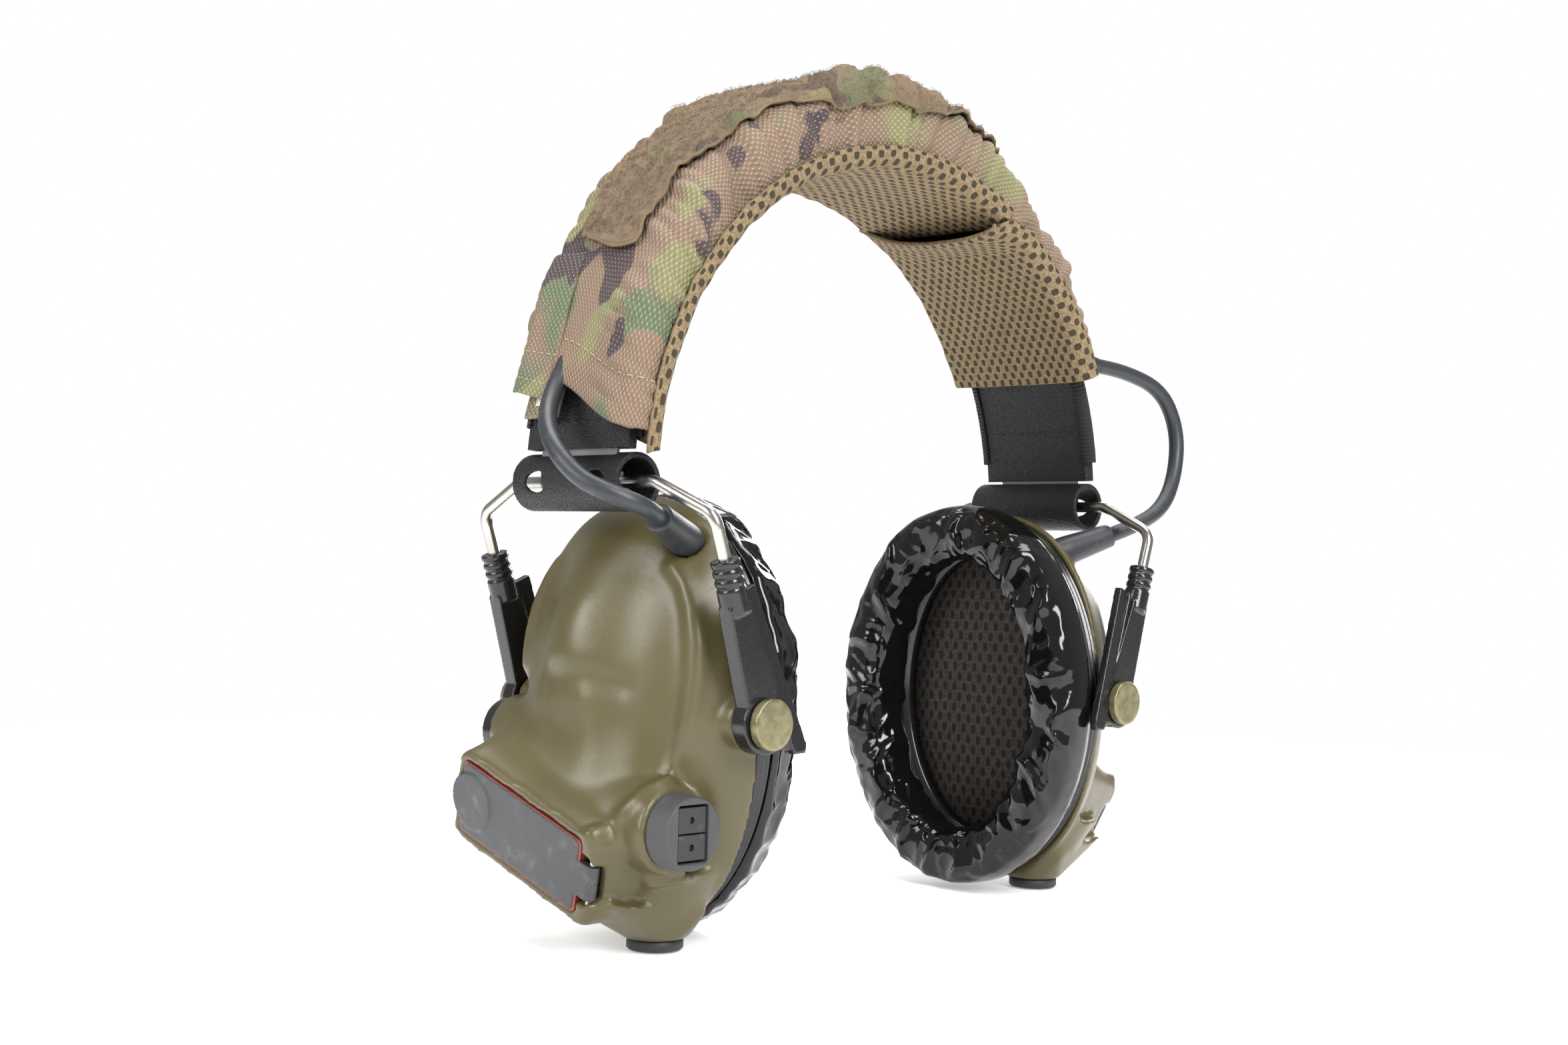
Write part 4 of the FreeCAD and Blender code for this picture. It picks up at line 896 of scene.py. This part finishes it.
def crumpled(piece, seed):
    """Slack vinyl: the skin of the face and inner wall grows while its back edges stay put."""
    start, loose = [vertex.co.copy() for vertex in piece.data.vertices], []
    pins = piece.vertex_groups.new(name="held")
    slack = piece.vertex_groups.new(name="slack")
    for i, co in enumerate(start):
        if abs(co.x) > (CUSHION_BACK - 1.2) * MM:
            pins.add([i], 1.0, "REPLACE")
        out = math.hypot(co.y / OUTER_HALF[0], (co.z - PIVOT_Z * MM) / OUTER_HALF[1]) / MM
        loose.append(max(0.05, 1.0 - ease(out, 0.93, 1.005)))
        slack.add([i], loose[-1], "REPLACE")
    for vertex, share in zip(piece.data.vertices, loose):
        push = noise.noise(vertex.co * 115.0 + Vector((seed, 0, 0))) * 1.5 * share
        vertex.co = (vertex.co + vertex.normal * push * MM) * BIG
    cloth = piece.modifiers.new("cloth", "CLOTH")
    settings = cloth.settings
    settings.quality = 5
    settings.mass = 0.25
    settings.tension_stiffness = settings.compression_stiffness = 30.0
    settings.shear_stiffness = 15.0
    settings.bending_stiffness = 0.6
    settings.effector_weights.gravity = 0.0
    settings.use_pressure = True
    settings.uniform_pressure_force = 3.0
    settings.vertex_group_shrink = "slack"
    settings.shrink_min, settings.shrink_max = 0.0, -CLOTH_GROWTH
    settings.vertex_group_mass = "held"
    cloth.collision_settings.use_collision = False
    cloth.collision_settings.use_self_collision = False
    scene = bpy.context.scene
    for step in range(1, CLOTH_STEPS + 1):
        scene.frame_set(step)
    shape = piece.evaluated_get(bpy.context.evaluated_depsgraph_get()).data
    moved = [vertex.co / BIG for vertex in shape.vertices]
    piece.modifiers.clear()
    scene.frame_set(1)
    for vertex, co, rest in zip(piece.data.vertices, moved, start):
        step = co - rest
        reach = step.length / (CLOTH_REACH * MM)
        vertex.co = rest + step * (math.tanh(reach) / max(reach, 1e-6))
    piece.data.update()
    for vertex, share in zip(piece.data.vertices, loose):
        large = noise.noise(vertex.co * 75.0 + Vector((seed, 2.0, 0)))
        small = noise.noise(vertex.co * 165.0 + Vector((0, seed, 5.0)))
        crease = 1.5 * max(0.0, 1 - abs(large) * 4.0) ** 1.4 + 0.6 * max(0.0, 1 - abs(small) * 3.5) ** 1.4
        vertex.co += vertex.normal * (crease - 0.5) * share * MM
    return piece


def close_back(piece):
    """Bridge the two back edges of the skin, so the cushion is a closed form."""
    bm = bmesh.new()
    bm.from_mesh(piece.data)
    rims = [edge for edge in bm.edges if edge.is_boundary]
    bmesh.ops.bridge_loops(bm, edges=rims)
    bmesh.ops.recalc_face_normals(bm, faces=bm.faces)
    bm.to_mesh(piece.data)
    bm.free()


for side, sign in SIDES:
    cushion = spun_oval(f"{side}_ear_cushion", cushion_profile(), sign, RING_STEPS, False)
    bpy.context.collection.objects.link(cushion)
    crumpled(cushion, 3.0 if sign > 0 else 8.0)
    close_back(cushion)
    smooth = cushion.modifiers.new("smooth", "SUBSURF")
    smooth.levels = smooth.render_levels = 1
    place(cushion, "cushion_skin", f"{side}_cup", "cushion_skin", [f"{side}_cushion"])
    face = min(abs(vertex.co.x) for vertex in cushion.data.vertices)
    print(cushion.name, "has its face", round(face / MM, 1), "mm from the middle")

# %% [markdown]
# Behind each cushion comes the black plate that holds it, with two fine grooves round its edge, and
# then the foam liner, a shallow lens that bulges a little through the opening.

# %% Backplates and liners
PLATE_PROFILE = [(27.2, 62.3), (39.7, 62.3), (40.2, 62.6), (40.3, 63.2), (39.6, 63.5), (39.6, 63.9),
                 (40.4, 64.2), (40.4, 64.7), (39.7, 65.0), (39.7, 65.4), (40.4, 65.6), (40.4, 65.95),
                 (27.2, 65.95)]


def liner(side, sign):
    bm = bmesh.new()
    bmesh.ops.create_uvsphere(bm, u_segments=96, v_segments=40, radius=1.0,
                              matrix=Matrix.Rotation(math.pi / 2, 4, "Y"))
    bmesh.ops.scale(bm, vec=(2.6 * MM, 30.5 * MM, 42.5 * MM), verts=bm.verts)
    bmesh.ops.translate(bm, vec=Vector((sign * 68.9, 0, PIVOT_Z)) * MM, verts=bm.verts)
    return from_bmesh(f"{side}_foam_disc", bm)


for side, sign in SIDES:
    plate = spun_oval(f"{side}_cushion_plate", PLATE_PROFILE, sign, 160, True)
    place(plate, "black_plastic", f"{side}_cup", "black_plastic", [f"{side}_backplate"])
    disc = liner(side, sign)
    place(disc, "dark_foam", f"{side}_cup", "dark_foam", [f"{side}_foam_liner"])

# %% [markdown]
# The blanking plug under each cup is a rubber disc with a raised rim and a dished middle: one profile,
# spun once. The cups stand on these rims.

# %% Blanking plugs
PLUG_PROFILE = [(0.0, 0.9), (2.6, 0.8), (3.1, 0.2), (4.1, 0.2), (4.5, 0.7), (5.2, 0.7), (5.6, 0.05),
                (6.4, 0.0), (6.85, 0.5), (6.85, 2.3), (6.5, 2.7), (0.0, 2.7)]
for side, sign in SIDES:
    bm = bmesh.new()
    verts = [bm.verts.new((radius, 0.0, z)) for radius, z in PLUG_PROFILE]
    edges = [bm.edges.new(pair) for pair in zip(verts, verts[1:])]
    bmesh.ops.spin(bm, geom=verts + edges, cent=(0, 0, 0), axis=(0, 0, 1), angle=2 * math.pi, steps=64,
                   use_merge=True)
    bmesh.ops.remove_doubles(bm, verts=bm.verts, dist=1e-4)
    bmesh.ops.recalc_face_normals(bm, faces=bm.faces)
    bmesh.ops.scale(bm, vec=(MM, MM, MM), verts=bm.verts)
    bmesh.ops.translate(bm, vec=Vector((sign * 73.5, -13.0, 0.0)) * MM, verts=bm.verts)
    place(from_bmesh(f"{side}_plug_disc", bm), "black_rubber", f"{side}_cup", "black_rubber",
          [f"{side}_blanking_plug"])

# %% [markdown]
# Everything on the band is a strip bent round the arch. bent_strip() starts from a flat grid that brings
# its own UV map, rescales that map to metres for the weave, and then moves each point to its place. The
# caller says where (u, v) lands, which is where all the shape of the cover is: its rounded shoulders,
# its slanted ends, its folds.

# %% Strips round the arch
def bent_strip(name, cells_u, cells_v, size, where, thickness, offset=-1.0):
    bm = bmesh.new()
    layer = bm.loops.layers.uv.new("UVMap")
    bmesh.ops.create_grid(bm, x_segments=cells_u, y_segments=cells_v, size=0.5, calc_uvs=True)
    for face in bm.faces:
        for loop in face.loops:
            loop[layer].uv = (loop[layer].uv.x * size[0], loop[layer].uv.y * size[1])
    for vertex in bm.verts:
        vertex.co = where(vertex.co.x + 0.5, vertex.co.y + 0.5)
    piece = from_bmesh(name, bm)
    wall = piece.modifiers.new("wall", "SOLIDIFY")
    wall.thickness = thickness * MM
    wall.offset = offset
    return baked(piece)


def outward_first(piece):
    """Strips are drawn left to right or right to left; the faces must point outwards either way."""
    bm = bmesh.new()
    bm.from_mesh(piece.data)
    bmesh.ops.recalc_face_normals(bm, faces=bm.faces)
    bm.to_mesh(piece.data)
    bm.free()
    return piece


# %% [markdown]
# The band itself is a spring in a leatherette sleeve: a rounded section spun through 170 degrees. Each
# long edge is bound with a ribbed tape, and rows of black thread cross the band near both hinges.
# Stitches are tiny stretched balls along a chain of points, cheap enough to be real geometry.

# %% Black band, its tapes and its stitches
BAND_HALF, BAND_INSIDE, BAND_OUTSIDE = 18.9, 88.3, 91.7


def leather_band():
    bm = bmesh.new()
    half, low, high = BAND_HALF, BAND_INSIDE, BAND_OUTSIDE
    corners = [(low + 0.5, -half), (low, -half + 0.7), (low, half - 0.7), (low + 0.5, half),
               (high - 0.5, half), (high, half - 0.7), (high, -half + 0.7), (high - 0.5, -half)]
    start = Matrix.Rotation(-math.radians(5.0), 4, "Y")
    verts = [bm.verts.new(start @ Vector((radius, y, 0.0))) for radius, y in corners]
    edges = [bm.edges.new(pair) for pair in zip(verts, verts[1:] + verts[:1])]
    end = bmesh.ops.spin(bm, geom=verts + edges, cent=(0, 0, 0), axis=(0, 1, 0), steps=170,
                         angle=-math.radians(170.0))
    last = [item for item in end["geom_last"] if isinstance(item, bmesh.types.BMVert)]
    bm.faces.new(verts)
    bmesh.ops.contextual_create(bm, geom=last)
    bmesh.ops.recalc_face_normals(bm, faces=bm.faces)
    bmesh.ops.translate(bm, vec=(0, 0, HINGE_Z), verts=bm.verts)
    bmesh.ops.scale(bm, vec=(MM, MM, MM), verts=bm.verts)
    return from_bmesh("leather_band", bm)


place(leather_band(), "black_leather", "headband", "black_leather", ["band_sleeve"], smooth=False)


def tape(sign):
    """A ribbed tape folded over one long edge of the band: a U of 6 mm, drawn as one strip."""
    def where(u, v):
        angle = 8.5 + 163.0 * u
        turn = math.pi * (v - 0.5)
        reach = 2.9 * math.sin(turn)
        depth = 3.0 * (1 - math.cos(turn))
        ripple = 0.12 * noise.noise(Vector((angle * 0.6, v * 3, sign)))
        return on_arch(angle, 90.0 + 0.75 * reach + ripple, sign * (20.6 - depth))
    return outward_first(bent_strip(f"{'front' if sign > 0 else 'rear'}_edge_tape", 260, 10, (0.256, 0.009),
                                    where, 0.35, 0.0))


for sign in (1, -1):
    place(tape(sign), "black_tape", "headband", "black_tape", ["edge_bindings"])


def stitches(name, points, finish, slot, length, thick, gap):
    """A row of thread stitches along a chain of points, as short fat grains. Sizes in millimetres."""
    bm = bmesh.new()
    travelled, next_start = 0.0, 0.0
    for a, b in zip(points, points[1:]):
        run = (b - a).length
        while next_start < travelled + run:
            centre = a.lerp(b, max(0.0, (next_start - travelled) / run))
            turn = (b - a).to_track_quat("X", "Z").to_matrix().to_4x4()
            shape = Matrix.Diagonal((length / 2 * MM, thick / 2 * MM, thick / 2 * MM, 1))
            bmesh.ops.create_icosphere(bm, subdivisions=1, radius=1.0,
                                       matrix=Matrix.Translation(centre) @ turn @ shape)
            next_start += (length + gap) * MM
        travelled += run
    piece = from_bmesh(name, bm)
    return place(piece, finish, "headband", slot)


def row_across(angle, radius, y_low, y_high, count=16):
    return [on_arch(angle, radius, y_low + (y_high - y_low) * i / count) for i in range(count + 1)]


for side, angle in (("right", 9.0), ("right", 14.5), ("left", 171.0), ("left", 165.5)):
    for radius in (88.25, 91.75):
        stitches(f"{side}_band_row_{int(angle)}_{int(radius)}", row_across(angle, radius, -17.0, 17.0),
                 "black_thread", "black_tape", 2.6, 0.5, 1.0)

# %% [markdown]
# The cover. Its top reaches furthest from the band at the crown, where the padding is. Seen along the
# band it slants at the left end, where the rear edge hangs lower than the front. Its folds are noise
# stretched across the band, deeper where the band bends most on the right, plus two creases.

# %% Canvas cover
RIGHT_END, LEFT_END, BASE = 28.0, 165.0, 87.9
HALF, CORNER = 24.5, 8.0


def cover_reach(angle):
    middle = (RIGHT_END + LEFT_END) / 2
    off = max(-1.0, min(1.0, (angle - middle) / (LEFT_END - middle)))
    return 99.0 + 10.6 * (math.cos(math.pi * off) + 1) / 2


def cover_outline(top, v):
    """(radius, y) at share v along the U from the rear lower edge, over the top, to the front one."""
    rise, arc, flat = top - CORNER - BASE, math.pi / 2 * CORNER, 2 * (HALF - CORNER)
    run = v * (2 * rise + 2 * arc + flat)
    mirror_ = run > rise + arc + flat / 2
    if mirror_:
        run = 2 * rise + 2 * arc + flat - run
    if run < rise:
        radius, y = BASE + run, -HALF
    elif run < rise + arc:
        turn = (run - rise) / CORNER
        radius, y = top - CORNER + CORNER * math.sin(turn), -HALF + CORNER - CORNER * math.cos(turn)
    else:
        radius, y = top, -HALF + CORNER + run - rise - arc
    return radius, -y if mirror_ else y


def fold_height(angle, v):
    """Height of the folds in millimetres, outwards positive."""
    side_wall = abs(v - 0.5) * 2
    soft = noise.noise(Vector((angle * 0.12, v * 4.0, 0.0))) * 1.2
    diagonal = noise.noise(Vector((angle * 0.34 - side_wall * 2.2, v * 2.6, 7.0)))
    gathers = abs(diagonal) ** 0.8 * 3.2 * ease(side_wall, 0.12, 0.5)
    fine = noise.noise(Vector((angle * 0.8 - side_wall * 3.0, v * 5.0, 4.0))) * 0.6
    fine *= ease(side_wall, 0.2, 0.6)
    pinch = math.exp(-((angle - 60.0) / 14.0) ** 2)
    deep = math.sin(angle * 0.55 + v * 9.0) * 1.3 * pinch * ease(side_wall, 0.2, 0.8)
    sag = -2.4 * math.exp(-((angle - 54.0 - 12.0 * v) / 3.5) ** 2) * ease(side_wall, 0.1, 0.5)
    elbow = -1.8 * math.exp(-((angle - 132.0 + 20.0 * v) / 3.0) ** 2) * ease(side_wall, 0.25, 0.6)
    return soft + gathers + fine - 0.9 + deep + sag + elbow


def left_edge(y):
    """The angle at which the cover ends on the left, for a place across the band."""
    slant = 172.6 - 7.2 * ease(y, -24.0, 8.0)
    return slant if y < 7.0 else 161.0


def canvas_point(u, v, lift=0.0):
    angle = RIGHT_END + (LEFT_END - RIGHT_END) * u
    _, y = cover_outline(cover_reach(angle), v)
    end = ease(u, 0.80, 1.0)
    angle += (left_edge(y) - LEFT_END) * end
    angle -= 2.4 * (1 - ease(u, 0.0, 0.12)) * ease(abs(y), 24.0, 8.0)
    radius, y = cover_outline(cover_reach(angle), v)
    height = fold_height(angle, v) * ease(u, -0.02, 0.08) * ease(1 - u, -0.03, 0.06)
    over = 0.9 * ease(7.5 - y, -0.3, 0.3) * ease(angle, 140.0, 146.0)
    hug = -2.6 * ease(angle, 148.0, 168.0) * ease(radius, BASE, BASE + 8)
    across_ = max(0.0, abs(y) - (HALF - CORNER)) / CORNER
    radial = (height + over + hug + lift) * math.cos(across_ * math.pi / 2 * 0.9)
    sideways = (height + lift) * math.sin(across_ * math.pi / 2) * math.copysign(1, y)
    if radius < BASE + 2.0:
        sideways -= math.copysign(1.2, y) * (1 - (radius - BASE) / 2.0)
    return on_arch(angle, radius + radial, y + sideways)


canvas = bent_strip("canvas_cover", 290, 108, (0.250, 0.098), canvas_point, 0.9, 1.0)
place(outward_first(canvas), "canvas", "headband", "canvas", ["cover_canvas"])

# %% [markdown]
# Pale thread shows along the cover's two hems and along the seam at its lower rear edge. The rows follow
# the cover's own surface function, lifted by a tenth of a millimetre so that the thread lies on the cloth.

# %% Hem and seam stitches of the cover
def along_cover(v, u_low, u_high, lift, count=120):
    return [canvas_point(u_low + (u_high - u_low) * i / count, v, lift) for i in range(count + 1)]


def across_cover(u, v_low, v_high, lift, count=60):
    return [canvas_point(u, v_low + (v_high - v_low) * i / count, lift) for i in range(count + 1)]


stitches("left_hem_stitches", across_cover(0.955, 0.02, 0.61, 0.12), "thread", "canvas", 2.2, 0.35, 0.9)
stitches("right_hem_stitches", across_cover(0.03, 0.03, 0.97, 0.12), "thread", "canvas", 2.2, 0.35, 0.9)
stitches("lower_seam_stitches", along_cover(0.03, 0.05, 0.95, 0.1), "thread", "canvas", 2.2, 0.3, 0.9)

# %% [markdown]
# The front flap of the cover hangs past the rear panel at the left end. It is its own strip, one layer
# lower, with two stitch rows and a free corner that curls away from the band. Under it a short strip of
# hook tape carries a blank film.

# %% Flap and hook tab
def flap_point(u, v):
    y = 6.0 + 17.5 * v
    angle = 146.0 + (22.6 - 2.2 * v) * u
    curl = 1.6 * ease(u, 0.6, 1.0) * v
    top = cover_reach(angle) - 2.7 * ease(angle, 148.0, 168.0)
    drop = max(0.0, abs(y) - (HALF - CORNER)) / CORNER
    radius = top + 0.15 - CORNER * (1 - math.cos(min(1.0, drop) * math.pi / 2)) * 0.55
    return on_arch(angle, radius + curl + 0.3 * noise.noise(Vector((u * 5, v * 3, 2))), y)


flap = bent_strip("cover_flap_panel", 90, 40, (0.040, 0.020), flap_point, 0.8, 0.0)
place(outward_first(flap), "canvas", "headband", "canvas", ["cover_flap"])
for share in (0.90, 0.70):
    row = [flap_point(share, 0.05 + 0.9 * i / 20) + Vector((-0.4, 0, 0.2)) * MM for i in range(21)]
    stitches(f"flap_row_{int(share * 100)}", row, "thread", "canvas", 2.0, 0.35, 0.9)
row = [flap_point(0.1 + 0.85 * i / 40, 0.88) + Vector((-0.45, 0, 0.3)) * MM for i in range(41)]
stitches("flap_edge_row", row, "thread", "canvas", 2.0, 0.35, 0.9)


def tab_point(u, v):
    angle = 161.0 + 9.6 * u
    return on_arch(angle, 93.3 + 1.4 * u + 0.3 * math.sin(5 * v), 4.5 + 12.5 * v)


hook = bent_strip("hook_tab_strip", 20, 16, (0.016, 0.0125), tab_point, 1.0, 0.0)
place(outward_first(hook), "canvas", "headband", "canvas", ["hook_tab"])
film = bent_strip("tab_film", 10, 10, (0.007, 0.008),
                  lambda u, v: tab_point(0.45 + 0.38 * u, 0.08 + 0.6 * v) + Vector((-0.75, 0, 0.3)) * MM,
                  0.15, 0.0)
place(outward_first(film), "label_film", "headband", "canvas")

# %% [markdown]
# The mesh lining faces the wearer's head. It is one long strip with rolled edges that meet the canvas,
# and a second short one on the right whose free upper edge sags away from the band and leaves a pocket.

# %% Mesh lining
POCKET_START, POCKET_STOP, POCKET_SAG = 25.0, 66.5, 7.0
LONG_START, LONG_STOP = 63.0, 172.5


def lining_point(start, stop, pocket):
    """Where the lining lies between two angles; pocket is how far its far edge sags, in millimetres."""
    def where(u, v):
        across = 2 * v - 1
        edge = abs(across)
        end = ease(u, 0.9, 1.0)
        skew = (3.5 - 12.0 * v) * end if stop > 160 else 0.0
        angle = start + (stop - start) * u + skew
        puff = 1.1 * (1 - edge ** 4) * (0.6 + 0.5 * noise.noise(Vector((angle * 0.09, v * 2.5, 3.0))))
        roll = ease(edge, 0.80, 1.0)
        y = math.copysign(min(edge, 0.90) / 0.90 * 25.6, across) if edge else 0.0
        ripple = 0.55 * noise.noise(Vector((angle * 0.3, v * 4.0, 5.0)))
        hang = pocket * ease(u, 0.72, 1.0) * (1 - 3.0 * (v - 0.35) ** 2)
        lap = 4.6 * roll * (1 - 0.8 * ease(u, 0.9, 1.0) * (pocket > 0))
        return on_arch(angle, 86.4 - puff + lap + ripple - max(0.0, hang), y)
    return where


for name, start, stop, pocket, cells in (("lining_left_part", LONG_START, LONG_STOP, 0.0, 190),
                                         ("lining_right_part", POCKET_START, POCKET_STOP, POCKET_SAG, 90)):
    strip = bent_strip(name, cells, 56, (math.radians(stop - start) * 0.086, 0.056),
                       lining_point(start, stop, pocket), 1.1, 0.0)
    place(outward_first(strip), "mesh_lining", "headband", "mesh_lining", ["cover_lining"])
pocket_part = lining_point(POCKET_START, POCKET_STOP, POCKET_SAG)
row = [pocket_part(0.10, 0.04 + 0.92 * i / 40) for i in range(41)]
stitches("lining_hem_stitches", [point - point.normalized() * 0.2 * MM for point in row], "thread",
         "mesh_lining", 2.2, 0.4, 0.9)

# %% [markdown]
# The patch of fuzzy loop pile lies on top of the cover. It is a strip with a wavy outline, drawn on the
# cover's own surface function so that it follows every fold, with a thin cord as its rim. A few thousand
# curled fibres, each a bent thread of three short lengths, break up its outline. They are placed by a
# seeded random draw, so the patch is the same every time.

# %% Loop patch and its fibres
PATCH_START, PATCH_STOP = 50.0, 145.0


def patch_point(u, v, lift=1.0):
    angle = PATCH_START + (PATCH_STOP - PATCH_START) * u
    middle = math.exp(-((angle - 97.0) / 28.0) ** 2)
    wave = 0.012 * math.sin(angle * 0.34) + 0.008 * math.sin(angle * 0.81)
    near, far = 0.335 - 0.185 * middle + wave, 0.66 + 0.09 * middle + wave
    angle += 0.9 * math.sin(v * 5.0) * ease(u, 0.93, 1.0)
    return canvas_point((angle - RIGHT_END) / (LEFT_END - RIGHT_END), near + (far - near) * v, lift)


patch = bent_strip("loop_patch_pile", 190, 64, (0.175, 0.045), lambda u, v: patch_point(u, v, 1.5),
                   0.9, 0.0)
place(outward_first(patch), "fuzzy", "headband", "canvas", ["loop_patch"])

outline = [patch_point(i / 90, 0.0, 1.7) for i in range(91)]
outline += [patch_point(1.0, i / 24, 1.7) for i in range(1, 25)]
outline += [patch_point(1 - i / 90, 1.0, 1.7) for i in range(1, 91)]
outline += [patch_point(0.0, 1 - i / 24, 1.7) for i in range(1, 25)]
place(round_tube("patch_edge", outline, 0.8 * MM), "patch_rim", "headband", "canvas")


FIBRES, FIBRE_THICK, PILE_SEED = 5200, 0.09, 4


def pile(name, count, seed):
    """Curled fibres standing out of the patch, each drawn through four points."""
    chance = random.Random(seed)
    curve = bpy.data.curves.new(name, "CURVE")
    curve.dimensions = "3D"
    curve.bevel_depth = FIBRE_THICK / 2 * MM
    curve.bevel_resolution = 0
    for _ in range(count):
        u, v = chance.uniform(0.01, 0.99), chance.uniform(0.02, 0.98)
        foot = patch_point(u, v, 1.6)
        out = (patch_point(u, v, 2.6) - foot).normalized()
        turn = chance.uniform(0, 2 * math.pi)
        lean = Vector((math.cos(turn), math.sin(turn), 0.4 * math.sin(3 * turn)))
        lean = (lean - out * lean.dot(out)).normalized()
        tall = chance.uniform(0.5, 1.25)
        spline = curve.splines.new("POLY")
        spline.points.add(3)
        steps = ((0.0, 0.0), (0.75, 0.35), (0.95, 0.95), (0.35, 1.5))
        for point, (rise, run) in zip(spline.points, steps):
            point.co = (*(foot + (out * rise * tall + lean * run) * MM), 1)
    return bpy.data.objects.new(name, bpy.data.meshes.new_from_object(bpy.data.objects.new("line", curve)))


place(pile("patch_fibres", FIBRES, PILE_SEED), "fuzzy", "headband", "canvas")

# %% [markdown]
# Under the cover, at the crown, lies a soft pad. Nothing of it shows, so its rounded solid is enough.

# %% Crown pad
pad = moulded("crown_padding", "crown_pad", 1.6, 6)
place(pad, "padding", "headband", "padding", ["crown_pad"])
